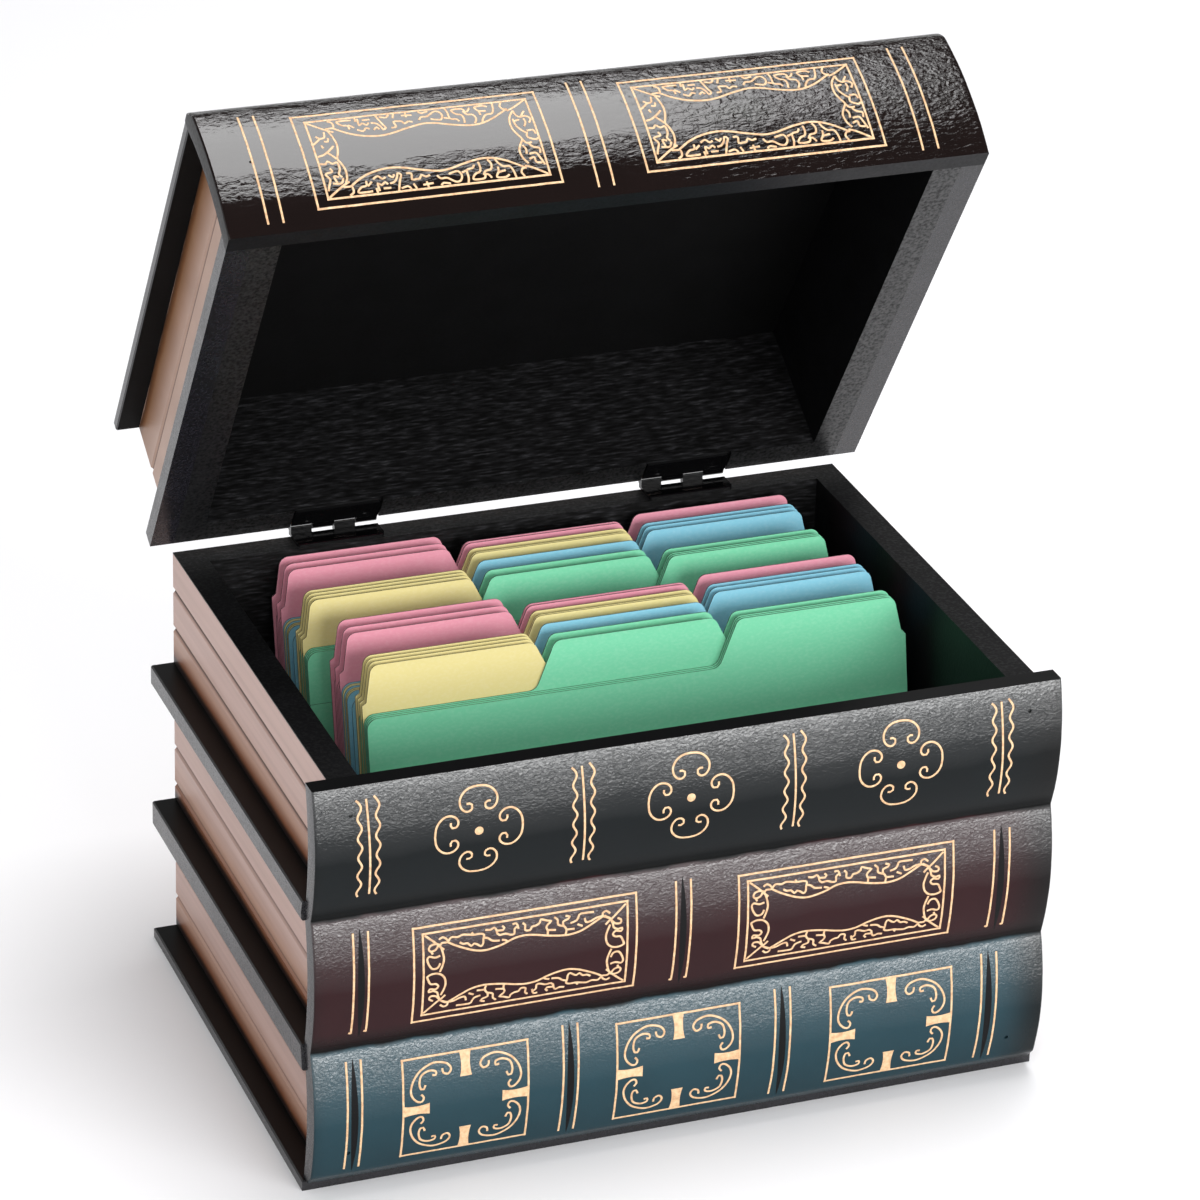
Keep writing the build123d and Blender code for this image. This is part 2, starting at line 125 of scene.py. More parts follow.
def setRamp(ramp, stops):
    # stops are pairs of place and hex colour
    while len(ramp.color_ramp.elements) < len(stops):
        ramp.color_ramp.elements.new(1.0)
    for element, (position, colour) in zip(ramp.color_ramp.elements, stops):
        element.position = position
        element.color = linear(colour)


def greyStops(pairs):
    return [(place, "#" + ("%02x" % round(255 * value)) * 3) for place, value in pairs]


def assign(material, *names):
    for name in names:
        nodes[name].data.materials.clear()
        nodes[name].data.materials.append(material)


blend = {"data_type": "RGBA"}
darken = {"data_type": "RGBA", "blend_type": "MULTIPLY"}

# the painted fibreboard: satin black emulsion rolled over raw MDF, which soaks it up and leaves a
# fine felted surface, so it is nearly matt face on and catches grey light at a glancing angle
blackPaint = {
    "outside": ("#070708", "#222127"),  # where it lies thick and where it wore thin; on side faces the paler one is partly painted sheen
    "inside": ("#050505", "#141416"),
    # darker than outside: flat paint, and painted shade under the open lid
    "underLidShaded": ("#030303", "#0a0a0b"),
    "lidRim": ("#050506", "#161619"),
    "spindle": ("#040405", "#0a090b"),
    "filler": ("#050505", "#0d0c0d"),
    "satin": (0.27, 0.62),  # roughness and shine outside
    "flat": (0.6, 0.12),  # and under the lid
    "fibre": 0.8,
    "cloud": 11.11,
    "raised": 0.05,
}


def feltSockets(tree, place, deep, thin):
    # colour, spread and fibre height of black paint on fibreboard
    fibreScale, cloudScale = patternScale(blackPaint["fibre"]), patternScale(blackPaint["cloud"])
    fibre = addNode(tree, "TexNoise", {"Vector": place, "Scale": fibreScale, "Detail": 5.0})
    cloud = addNode(tree, "TexNoise", {"Vector": place, "Scale": cloudScale, "Detail": 4.0})
    both = addNode(tree, "Math", {0: cloud, 1: 0.5, 2: fibre}, operation="MULTIPLY_ADD")
    spread = addNode(tree, "MapRange", {"Value": both, "From Min": 0.5, "From Max": 1.05})
    return addNode(tree, "Mix", {"Factor": spread, 6: linear(deep), 7: linear(thin)}, **blend), spread, fibre


def feltedBlack(name, paint, roughness, specular, raised=blackPaint["raised"]):
    material, tree, shader, place = startMaterial(name, Roughness=roughness, Specular_IOR_Level=specular)
    deep, thin = blackPaint[paint]
    spread, fibre = feltSockets(tree, place, deep, thin)[1:]
    # faces laid flat stay deep black, side faces take the paler worn colour: partly wear, partly painted sheen
    # for the grey light they catch at a glancing angle
    facing = addNode(tree, "SeparateXYZ", {"Vector": addNode(tree, "TexCoord").outputs["Normal"]})
    upward = {"Value": facing.outputs["Z"], "From Min": 0.5, "From Max": 0.95}
    edge = addNode(tree, "MapRange", {**upward, "To Min": 1.0, "To Max": 0.0})
    worn = addNode(tree, "Math", {0: spread, 1: edge}, operation="MULTIPLY")
    # paler towards the side faces: worn mottling with painted sheen
    colour = addNode(tree, "Mix", {"Factor": worn, 6: linear(deep), 7: linear(thin)}, **blend)
    patchy = {"To Min": roughness + 0.08, "To Max": roughness - 0.08}
    rough = addNode(tree, "MapRange", {"Value": worn, **patchy})
    shine = addNode(tree, "MapRange", {"Value": edge, "To Min": specular * 0.35, "To Max": specular})
    felt = addNode(tree, "MapRange", {"Value": edge, "To Min": 0.08, "To Max": 0.4})
    bump = addNode(tree, "Bump", {"Strength": felt, "Distance": raised * mm, "Height": fibre})
    feed(tree, shader, {"Base Color": colour, "Roughness": rough})
    feed(tree, shader, {"Specular IOR Level": shine, "Normal": bump})
    return material


def linedBlack():
    # the lid's top board: satin outside, thin flat paint on its underside, darker there as painted shade under
    # the open lid
    (satinRough, satinShine), (flatRough, flatShine) = blackPaint["satin"], blackPaint["flat"]
    satin = {"Roughness": satinRough, "Specular_IOR_Level": satinShine}
    material, tree, shader, place = startMaterial("lidCoverBlack", **satin)
    outside, _, fibre = feltSockets(tree, place, *blackPaint["outside"])
    # the underside's darker colours are painted shade under the open lid
    inside = feltSockets(tree, place, *blackPaint["underLidShaded"])[0]
    height = addNode(tree, "VectorMath", {0: place, 1: tuple(lidUp)}, operation="DOT_PRODUCT")
    underside = axisUp + (lidPlace["underTop"] + 0.05) * mm
    under = addNode(tree, "Math", {0: height, 1: underside}, operation="LESS_THAN")
    colour = addNode(tree, "Mix", {"Factor": under, 6: outside, 7: inside}, **blend)
    shine = addNode(tree, "MapRange", {"Value": under, "To Min": satinShine, "To Max": flatShine})
    rough = addNode(tree, "MapRange", {"Value": under, "To Min": satinRough, "To Max": flatRough})
    felt = {"Strength": 0.4, "Distance": blackPaint["raised"] * mm, "Height": fibre}
    bump = addNode(tree, "Bump", felt)
    feed(tree, shader, {"Base Color": colour, "Roughness": rough})
    feed(tree, shader, {"Specular IOR Level": shine, "Normal": bump})
    return material


def insideFelt(tree, place):
    colour, _, fibre = feltSockets(tree, place, *blackPaint["inside"])
    return colour, fibre


def insideGrain(tree, place):
    # thin black stain on a sawn back board: the grain runs along the box and shows as grey streaks
    # where the stain has worn off its ridges
    along = addNode(tree, "Mapping", {"Vector": place, "Scale": patternScale(4.167, 0.6667, 0.6667)})
    grain = addNode(tree, "TexNoise", {"Vector": along, "Scale": 1.0, "Detail": 8.0, "Distortion": 0.2})
    colour = addNode(tree, "ValToRGB", {"Fac": grain})
    setRamp(colour, [(0.4, "#090909"), (0.56, "#171718"), (0.68, "#29292b"), (0.82, "#464648")])
    return colour, grain


# page blocks: tan-pink paint with a brown glaze wiped into the corners above each cover, and the sawn
# grooves that stand for page edges, painted dark brown for pooled glaze and as painted shade in the groove
pages = {
    "groove": ("#4f352b", 0.55),  # colour and half width of the dark band: pooled glaze and painted shade
    "streak": ("#8c746c", 0.35),  # colour and strength
    "beyond": 7.5,  # plain paint begins again this far past a cover
    "waver": 1.8,  # of the glaze
    "rimWaver": 0.5,
    "rimGap": 0.55,
    "wobble": (11.11, 33.33, 11.11),
    "rubbed": 0.909,
    "box": {
        "glaze": [(0, "#0b0807"), (1.5, "#2a160e"), (2.8, "#7d4a2e"), (6.5, "#a9836f"), (14, "#b99b91")],
        "grooves": [12.1, 23.6, 47.8, 59.2, 70.7, 95.6, 107.1],
        "covers": [3.0, 43.1, 85.2],
        "away": 1,  # the way from a cover to its pages
        "reach": stack["rim"],
        "up": (0, 0, 1),
        "back": (0, 1, 0),
        "origin": 0.0,
        "wallBack": stack["wallBack"] * mm,
        "rimLevel": stack["rim"] * mm,
        "streaks": (2.0, 71.43, 2.0),
        "rimShine": (0.05, 0.3),
    },
    "lid": {
        "glaze": [(0, "#4a2c17"), (2.6, "#7b5130"), (3.4, "#8a6346"), (8, "#9c7862"), (14, "#b29383")],
        "grooves": [11.2, 22.7],
        "covers": [lidPlace["underTop"]],
        "away": -1,
        "reach": lidPlace["underTop"],
        "up": tuple(lidUp),
        "back": tuple(lidBack),
        "origin": axisUp,
        "wallBack": axisBack + lidPlace["wallBack"] * mm,
        "rimLevel": axisUp + lidPlace["rim"] * mm,
        "streaks": (2.0, 16.67, 16.67),
        "rimShine": (0.2, 0.95),
    },
}


def pagePaint(name, block, insideSockets):
    material, tree, shader, place = startMaterial(name, Roughness=0.42, Specular_IOR_Level=0.4)
    reach, away, origin, rimLevel = (block[key] for key in ("reach", "away", "origin", "rimLevel"))
    height = addNode(tree, "VectorMath", {0: place, 1: block["up"]}, operation="DOT_PRODUCT")
    depth = addNode(tree, "VectorMath", {0: place, 1: block["back"]}, operation="DOT_PRODUCT")
    long = addNode(tree, "Mapping", {"Vector": place, "Scale": patternScale(*pages["wobble"])})
    wobble = addNode(tree, "TexNoise", {"Vector": long, "Scale": 1.0, "Detail": 3.0})

    # the glaze wavers up and down, the grooves are straight
    waver = pages["waver"] * mm
    shifted = addNode(tree, "Math", {0: wobble, 1: waver, 2: height}, operation="MULTIPLY_ADD")
    low = origin + waver / 2
    level = addNode(tree, "MapRange", {"Value": shifted, "From Min": low, "From Max": low + reach * mm})
    stops = []
    for cover in block["covers"]:
        stops += [(cover + away * rise, colour) for rise, colour in block["glaze"]]
        stops += [(cover - away * pages["beyond"], block["glaze"][-1][1])]
    glazing = addNode(tree, "ValToRGB", {"Fac": level})
    setRamp(glazing, sorted((min(max(h / reach, 0), 1), colour) for h, colour in stops))
    straightUp = {"Value": height, "From Min": origin, "From Max": origin + reach * mm}
    # dark brown at each groove: partly pooled glaze, partly painted shade of the groove
    sawn = addNode(tree, "ValToRGB", {"Fac": addNode(tree, "MapRange", straightUp)})
    brown, half = pages["groove"]
    profile = ((-1, "#ffffff"), (-0.4, brown), (0.4, brown), (1, "#ffffff"))
    cuts = [(groove + half * way, colour) for groove in block["grooves"] for way, colour in profile]
    setRamp(sawn, sorted((h / reach, colour) for h, colour in cuts))
    painted = addNode(tree, "Mix", {"Factor": 1.0, 6: glazing, 7: sawn}, **darken)
    along = addNode(tree, "Mapping", {"Vector": place, "Scale": patternScale(*block["streaks"])})
    streak = addNode(tree, "TexNoise", {"Vector": along, "Scale": 1.0, "Detail": 4.0})
    grey, strength = pages["streak"]
    worn = addNode(tree, "MapRange", {"Value": streak, "From Min": 0.4, "To Max": strength})
    outside = addNode(tree, "Mix", {"Factor": worn, 6: painted, 7: linear(grey)}, **darken)

    # only the outer faces are painted as pages, up to just short of the rim
    inside, insideRelief = insideSockets(tree, place)
    across = addNode(tree, "SeparateXYZ", {"Vector": place})
    side = addNode(tree, "Math", {0: across.outputs["X"]}, operation="ABSOLUTE")
    far = addNode(tree, "Math", {0: side, 1: stack["wallSide"] * mm}, operation="GREATER_THAN")
    rear = addNode(tree, "Math", {0: depth, 1: block["wallBack"]}, operation="GREATER_THAN")
    outer = addNode(tree, "Math", {0: far, 1: rear}, operation="MAXIMUM")
    drop = -away * pages["rimWaver"] * mm
    edge = addNode(tree, "Math", {0: wobble, 1: drop, 2: height}, operation="MULTIPLY_ADD")
    stop, within = rimLevel - away * pages["rimGap"] * mm, "LESS_THAN" if away > 0 else "GREATER_THAN"
    short = addNode(tree, "Math", {0: edge, 1: stop}, operation=within)
    mask = addNode(tree, "Math", {0: outer, 1: short}, operation="MULTIPLY")
    colour = addNode(tree, "Mix", {"Factor": mask, 6: inside, 7: outside}, **blend)

    # the rims are shiny in patches where the paint was rubbed, the insides are dull
    above = addNode(tree, "Math", {0: height, 1: rimLevel}, operation="SUBTRACT")
    onRim = addNode(tree, "Math", {0: above, 1: 0.0, 2: 0.2 * mm}, operation="COMPARE")
    patchScale = patternScale(pages["rubbed"])
    patches = addNode(tree, "TexNoise", {"Vector": place, "Scale": patchScale, "Detail": 4.0})
    rimShine = dict(zip(("To Min", "To Max"), block["rimShine"]))
    rubbed = addNode(tree, "MapRange", {"Value": patches, "From Min": 0.35, "From Max": 0.65, **rimShine})
    rubbedRim = addNode(tree, "Math", {0: onRim, 1: rubbed}, operation="MULTIPLY")
    dull = addNode(tree, "MapRange", {"Value": mask, "To Min": 0.15, "To Max": 0.4})
    shine = addNode(tree, "Math", {0: dull, 1: rubbedRim}, operation="MAXIMUM")
    relief = addNode(tree, "Mix", {"Factor": mask, 2: insideRelief, 3: streak}, data_type="FLOAT")
    bump = addNode(tree, "Bump", {"Strength": 0.6, "Distance": 0.07 * mm, "Height": relief})
    feed(tree, shader, {"Base Color": colour, "Specular IOR Level": shine, "Normal": bump})
    return material


# spine boards: brushed gloss lacquer over a crinkled, leather-like ground. The ground is rough where a
# book rounds up into the one above and was brushed smooth lower down
lacquer = {
    "bookGround": {"crinkle": (1.2, 0.7), "pebble": 0.8, "pebbled": 0.4, "relief": 0.42},
    "lidGround": {"crinkle": (3.2, 1.3), "pebble": 1.1, "pebbled": 0.14, "relief": 0.75},
    "brushed": (20.0, 2.0, 2.0),
    "black": "#0a0b0b",
    "books": ["#1a323a", "#281013", "#0b1012"],  # from the lowest up
    # paler top of the lowest book: painted sheen where it faces the light
    "lowestTopSheen": "#254049",
    "lid": ("#160e0d", "#100a09"),
    "cloud": "#9a9a9a",
    "bookDrift": (14.29, 4.0),  # size of the clouds, and how far they move a colour
    "lidDrift": (16.67, 8.0),
    # below a joint: strength of the ground and of the shine
    "tops": [(-20, 0.03, 0.06), (-13, 0.45, 0.3), (-8, 0.9, 0.62), (-4, 0.85, 0.85), (-1, 0.5, 1.0)],
    # from the lid's rim to its top: strength of the ground
    "lidBands": [(0, 0.01), (0.22, 0.03), (0.33, 0.5), (0.4, 0.02), (0.66, 0.01), (0.78, 0.15), (0.9, 0.6)],
    "gloss": {"To Min": 0.08, "To Max": 1.0},
    "sprayed": (92, 107, 5),  # where the black ends begin and are full, from this far left of the middle
    "crinkledRight": (-15, 45),
}


def lacquerRelief(tree, place, strength, ground):
    # the crinkles fade with strength, which is a node, and faint brush marks stay
    along, across = ground["crinkle"]
    long = addNode(tree, "Mapping", {"Vector": place, "Scale": patternScale(along, across, across)})
    worms = {"Vector": long, "Scale": 1.0, "Detail": 4.5, "Distortion": 0.8}
    crinkle = addNode(tree, "TexNoise", worms)
    pebbles = {"Vector": place, "Scale": patternScale(ground["pebble"]), "Smoothness": 0.6}
    pebble = addNode(tree, "TexVoronoi", pebbles, feature="SMOOTH_F1")
    height = addNode(tree, "Math", {0: pebble, 1: ground["pebbled"], 2: crinkle}, operation="MULTIPLY_ADD")
    crinkled = {"Strength": strength, "Distance": ground["relief"] * mm, "Height": height}
    stretched = addNode(tree, "Mapping", {"Vector": place, "Scale": patternScale(*lacquer["brushed"])})
    brushed = addNode(tree, "TexNoise", {"Vector": stretched, "Scale": 1.0, "Detail": 3.0})
    marks = {"Strength": 0.3, "Distance": 0.05 * mm, "Height": brushed}
    return addNode(tree, "Bump", {**marks, "Normal": addNode(tree, "Bump", crinkled)})


def boxLacquer():
    material, tree, shader, place = startMaterial("lacqueredBooks", Roughness=0.27, Specular_IOR_Level=0.6)
    axes = addNode(tree, "SeparateXYZ", {"Vector": place})
    size, sway = lacquer["bookDrift"]
    drift = addNode(tree, "TexNoise", {"Vector": place, "Scale": patternScale(size), "Detail": 3.0})
    swayed = {0: drift, 1: sway * mm, 2: axes.outputs["Z"]}
    shifted = addNode(tree, "Math", swayed, operation="MULTIPLY_ADD")
    low, rim = sway / 2 * mm, stack["rim"]
    level = addNode(tree, "MapRange", {"Value": shifted, "From Min": low, "From Max": low + rim * mm})
    colours, grounds = [], []
    for bottom, top, book in zip((0.0, *stack["joints"]), (*stack["joints"], rim), lacquer["books"]):
        # the lowest book fades to a paler colour near its top: painted sheen
        upper = book if bottom else lacquer["lowestTopSheen"]
        colours += [(bottom + 0.3, lacquer["black"]), (bottom + 6.0, book)]
        colours += [(top - 9.0, upper), (top - 0.2, upper)]
        grounds += [(bottom + 0.5, 0.03, 0.06), *((top + drop, *values) for drop, *values in lacquer["tops"])]
    paint = addNode(tree, "ValToRGB", {"Fac": level})
    setRamp(paint, [(h / rim, colour) for h, colour in colours])

    # the foot of each book is smooth and dull from the joint itself up
    exact = addNode(tree, "MapRange", {"Value": axes.outputs["Z"], "From Max": rim * mm})
    gate = addNode(tree, "ValToRGB", {"Fac": exact})
    foot = [(-0.1, 1.0), (0.1, 0.0), (2.5, 0.0), (4.5, 1.0)]
    steps = [((joint + way) / rim, value) for joint in stack["joints"] for way, value in foot]
    setRamp(gate, greyStops([(0.0, 1.0), *steps]))
    strengths = []
    for column in (1, 2):
        ramp = addNode(tree, "ValToRGB", {"Fac": level})
        setRamp(ramp, greyStops([(row[0] / rim, row[column]) for row in grounds]))
        gated = addNode(tree, "Math", {0: ramp, 1: gate}, operation="MULTIPLY")
        # a ramp's greys are linear, the power turns them back to the values written
        strengths.append(addNode(tree, "Math", {0: gated, 1: 1 / 2.2}, operation="POWER"))
    amount, shine = strengths
    gloss = addNode(tree, "MapRange", {"Value": shine, **lacquer["gloss"]})

    # the black was sprayed in from both ends, further at the right
    start, full, left = lacquer["sprayed"]
    offset = addNode(tree, "Math", {0: axes.outputs["X"], 1: left * mm}, operation="ADD")
    side = addNode(tree, "Math", {0: offset}, operation="ABSOLUTE")
    spray = {"Value": side, "From Min": start * mm, "From Max": full * mm, "To Max": 0.9}
    ends = addNode(tree, "MapRange", spray, interpolation_type="SMOOTHSTEP")
    mottled = addNode(tree, "MapRange", {"Value": drift, "From Min": 0.35, "To Max": 0.4})
    cloudy = addNode(tree, "Mix", {"Factor": mottled, 6: paint, 7: linear(lacquer["cloud"])}, **darken)
    colour = addNode(tree, "Mix", {"Factor": ends, 6: cloudy, 7: linear(lacquer["black"])}, **blend)
    relief = lacquerRelief(tree, place, amount, lacquer["bookGround"])
    feed(tree, shader, {"Base Color": colour, "Specular IOR Level": gloss, "Normal": relief})
    return material


def lidLacquer():
    # crinkled towards the top board, brushed glassy in the middle, bubbly again towards the rim
    material, tree, shader, place = startMaterial("lacqueredLid", Roughness=0.1, Specular_IOR_Level=0.5)
    size, sway = lacquer["lidDrift"]
    drift = addNode(tree, "TexNoise", {"Vector": place, "Scale": patternScale(size), "Detail": 3.0})
    up = addNode(tree, "VectorMath", {0: place, 1: tuple(lidUp)}, operation="DOT_PRODUCT")
    shifted = addNode(tree, "Math", {0: drift, 1: sway * mm, 2: up}, operation="MULTIPLY_ADD")
    low = axisUp + (lidPlace["rim"] + sway / 2) * mm
    high = low + (lidPlace["top"] - lidPlace["rim"]) * mm
    level = addNode(tree, "MapRange", {"Value": shifted, "From Min": low, "From Max": high})
    ground = addNode(tree, "ValToRGB", {"Fac": level})
    setRamp(ground, greyStops(lacquer["lidBands"]))
    written = addNode(tree, "Math", {0: ground, 1: 0.45}, operation="POWER")
    # the right half was brushed less and stayed crinkled
    across = addNode(tree, "SeparateXYZ", {"Vector": place})
    start, full = (x * mm for x in lacquer["crinkledRight"])
    right = {"Value": across.outputs["X"], "From Min": start, "From Max": full}
    right.update({"To Min": 0.05, "To Max": 0.3})
    crinkled = addNode(tree, "MapRange", right, interpolation_type="SMOOTHSTEP")
    amount = addNode(tree, "Math", {0: written, 1: crinkled}, operation="MAXIMUM")
    thin, deep = (linear(colour) for colour in lacquer["lid"])
    colour = addNode(tree, "Mix", {"Factor": drift, 6: thin, 7: deep}, **blend)
    relief = lacquerRelief(tree, place, amount, lacquer["lidGround"])
    feed(tree, shader, {"Base Color": colour, "Normal": relief})
    return material


hinges = {
    "enamel": "#060607",
    "peel": 1.429,  # size of the orange peel
    "wire": ("#6e6e70", "#a2a2a4"),
    "drawn": (12.5, 0.25, 0.25),
}


def japannedSteel():
    # stoved black enamel on pressed steel: dark, thick and very glossy, with a soft orange peel
    enamel = {"Base_Color": linear(hinges["enamel"]), "Specular_IOR_Level": 0.4}
    material, tree, shader, place = startMaterial("japannedSteel", **enamel)
    peelScale = patternScale(hinges["peel"])
    flow = addNode(tree, "TexNoise", {"Vector": place, "Scale": peelScale, "Detail": 2.0})
    rough = addNode(tree, "MapRange", {"Value": flow, "To Min": 0.07, "To Max": 0.16})
    bump = addNode(tree, "Bump", {"Strength": 0.4, "Distance": 0.04 * mm, "Height": flow})
    feed(tree, shader, {"Roughness": rough, "Normal": bump})
    return material


def drawnSteel():
    # drawn mild steel wire, as hinge pins are: fine lines along the wire blur its highlight
    material, tree, shader, place = startMaterial("drawnSteelWire", Metallic=1.0)
    along = addNode(tree, "Mapping", {"Vector": place, "Scale": patternScale(*hinges["drawn"])})
    line = addNode(tree, "TexNoise", {"Vector": along, "Scale": 1.0, "Detail": 3.0})
    dark, pale = (linear(colour) for colour in hinges["wire"])
    colour = addNode(tree, "Mix", {"Factor": line, 6: dark, 7: pale}, **blend)
    rough = addNode(tree, "MapRange", {"Value": line, "To Min": 0.3, "To Max": 0.5})
    feed(tree, shader, {"Base Color": colour, "Roughness": rough})
    return material


# card guides: dyed 0.3 mm pressboard, matt, with flecked fibres and greyer cut edges, darker too as painted
# shade between the stacked cards
cards = {
    "dyes": {  # face, and cut edge, whose darker grey is partly painted shade between cards
        "pink": ("#d88fa0", "#8a6a70"),
        "yellow": ("#dacd8d", "#857d5c"),
        "blue": ("#7ebbcf", "#5c7680"),
        "green": ("#73c89f", "#567a68"),
    },
    "lean": radians(12),
    "fibre": (1.111, 1.111, 0.625),  # coarser than real fibres, so that it shows
}


def dyedCard(name, face, cutEdgeShaded):
    material, tree, shader, place = startMaterial(name + "Card", Roughness=0.75, Specular_IOR_Level=0.18)
    pulp = addNode(tree, "Mapping", {"Vector": place, "Scale": patternScale(*cards["fibre"])})
    fibre = addNode(tree, "TexNoise", {"Vector": pulp, "Scale": 1.0, "Detail": 6.0})
    fleck = addNode(tree, "MapRange", {"Value": fibre, "From Min": 0.45, "From Max": 0.75, "To Max": 0.06})
    white = linear("#ffffff")
    flecked = addNode(tree, "Mix", {"Factor": fleck, 6: linear(face), 7: white}, **blend)
    normal = addNode(tree, "TexCoord").outputs["Normal"]
    faceWay = (0, -cos(cards["lean"]), sin(cards["lean"]))
    facing = addNode(tree, "VectorMath", {0: normal, 1: faceWay}, operation="DOT_PRODUCT")
    flat = addNode(tree, "Math", {0: facing}, operation="ABSOLUTE")
    # the cut edges' greyer colour is their own, their darkness partly painted shade between the stacked cards
    cut = addNode(tree, "MapRange", {"Value": flat, "From Min": 0.85, "From Max": 0.6, "To Max": 0.95})
    colour = addNode(tree, "Mix", {"Factor": cut, 6: flecked, 7: linear(cutEdgeShaded)}, **blend)
    bump = addNode(tree, "Bump", {"Strength": 0.2, "Distance": 0.02 * mm, "Height": fibre})
    feed(tree, shader, {"Base Color": colour, "Normal": bump})
    return material


print("painting the boards, hinges and cards")
satinBlack = feltedBlack("satinBlackBoard", "outside", *blackPaint["satin"])
covers = ["base_board", "lid_left_rim_strip", "lid_right_rim_strip"]
covers += [side + "_" + level + "_cover_strip" for side in ("left", "right") for level in ("upper", "lower")]
assign(satinBlack, *covers)
assign(linedBlack(), "lid_top_board")
assign(pagePaint("boxPages", pages["box"], insideFelt), "left_page_wall", "right_page_wall")
assign(pagePaint("boxForeEdges", pages["box"], insideGrain), "back_page_wall")
assign(pagePaint("lidPages", pages["lid"], insideFelt), "lid_left_page_wall", "lid_right_page_wall")
assign(pagePaint("lidForeEdges", pages["lid"], insideGrain), "lid_back_page_wall")
enamel, wire = japannedSteel(), drawnSteel()
for side in ("left", "right"):
    assign(enamel, side + "_hinge_box_leaf", side + "_hinge_lid_leaf")
    assign(wire, side + "_hinge_pin")
assign(enamel, "box_hinge_screws", "lid_hinge_screws")
# the brads were sunk, stopped and painted over
assign(feltedBlack("paintedOverBrads", "filler", 0.5, 0.3), "box_spine_brads", "lid_spine_brads")
for dye, (face, cutEdgeShaded) in cards["dyes"].items():
    assign(dyedCard(dye, face, cutEdgeShaded), *[name for name in nodes if name.split("_")[1] == dye])

# spine boards, replaced by finer meshes with eased edges and a hand-sanded, slightly wavy front
boxSpine = {
    "joint": 5.3,  # depths from the fronts of the page walls
    "rim": 5.6,
    "swell": 3.12,
    "footRise": 3.0,
    "footDepth": 6.0,
    "footEdge": 3.3,
    "hole": (0.55, -80.0, -73.4),  # radius, and the depths where a brad hole starts and ends
    "holeHeights": (111.46, 13.0),
}
lidSpine = {
    "rim": 5.3,
    "shoulder": (6.6, 34.8),
    "top": 3.2,
    "swell": 2.12,
    "topSwell": 0.75,
    "hole": (0.35, -150.0, -143.3),
    "holeHeights": (19.2,),
}
board = {
    "backSwell": 2.5,
    "faceSteps": 34,
    "backSteps": 10,
    "ease": 0.6,
    "ends": [0, 0.07, 0.2, 0.4, 0.7, 1.0],  # steps of the eased ends
    "step": 1.6,
    "wave": 0.16,
    "waves": (0.045, 0.11),  # in a millimetre, along and up
    "nearEnd": 4.0,
}


def swollen(start, end, bulge, count):
    # a round between two points of depth and height, in as many steps as count
    points = []
    for step in range(count + 1):
        t = step / count
        push = 4 * bulge * t * (1 - t)
        points.append((start[0] + (end[0] - start[0]) * t - push, start[1] + (end[1] - start[1]) * t))
    return points


def swollenRuns(points, bulge, count):
    return [swollen(start, end, bulge, count) for start, end in zip(points, points[1:])]


def joined(*runs):
    # runs of points end to end, without the shared ends
    points = list(runs[0])
    for run in runs[1:]:
        x, y = points[-1]
        points += [point for point in run if hypot(point[0] - x, point[1] - y) > 1e-6]
    return points


def boxOutline():
    front, size = stack["wallFront"], boxSpine
    lower, upper = stack["joints"]
    foot = (front - size["footEdge"], stack["coverTop"])
    toe = (front - size["footDepth"], stack["coverTop"] + size["footRise"])
    corners = [toe, (front - size["joint"], lower), (front - size["joint"], upper)]
    corners.append((front - size["rim"], stack["rim"]))
    rounds = swollenRuns(corners, size["swell"], board["faceSteps"])
    levels = [(front, level) for level in (stack["rim"], upper, lower, stack["coverTop"])]
    back = swollenRuns(levels, board["backSwell"], board["backSteps"])
    return joined(swollen(foot, toe, 0, 3), *rounds), joined(*back)


def lidOutline():
    front, size = lidPlace["wallFront"], lidSpine
    rim = (front - size["rim"], lidPlace["rim"])
    shoulder = (front - size["shoulder"][0], size["shoulder"][1])
    top, under = (front - size["top"], lidPlace["top"]), (front, lidPlace["underTop"])
    lower = swollen(rim, shoulder, size["swell"], board["faceSteps"])
    upper = swollen(shoulder, top, size["topSwell"], 8)
    back = swollen(under, (front, lidPlace["rim"]), board["backSwell"], board["backSteps"])
    return joined(lower, upper), joined([(front, lidPlace["top"]), under], back)


def makeObject(name, verts, faces, material, smooth=True):
    mesh = bpy.data.meshes.new(name)
    mesh.from_pydata([tuple(v) for v in verts], [], faces)
    mesh.validate()
    work = bmesh.new()
    work.from_mesh(mesh)
    bmesh.ops.recalc_face_normals(work, faces=work.faces)
    work.to_mesh(mesh)
    work.free()
    if smooth:
        mesh.shade_smooth()
    mesh.materials.append(material)
    obj = bpy.data.objects.new(name, mesh)
    scene.collection.objects.link(obj)
    return obj


def makePlain(obj):
    # the mesh as its modifiers leave it, without them
    bpy.context.view_layer.update()
    mesh = bpy.data.meshes.new_from_object(obj.evaluated_get(bpy.context.evaluated_depsgraph_get()))
    obj.modifiers.clear()
    obj.data = mesh


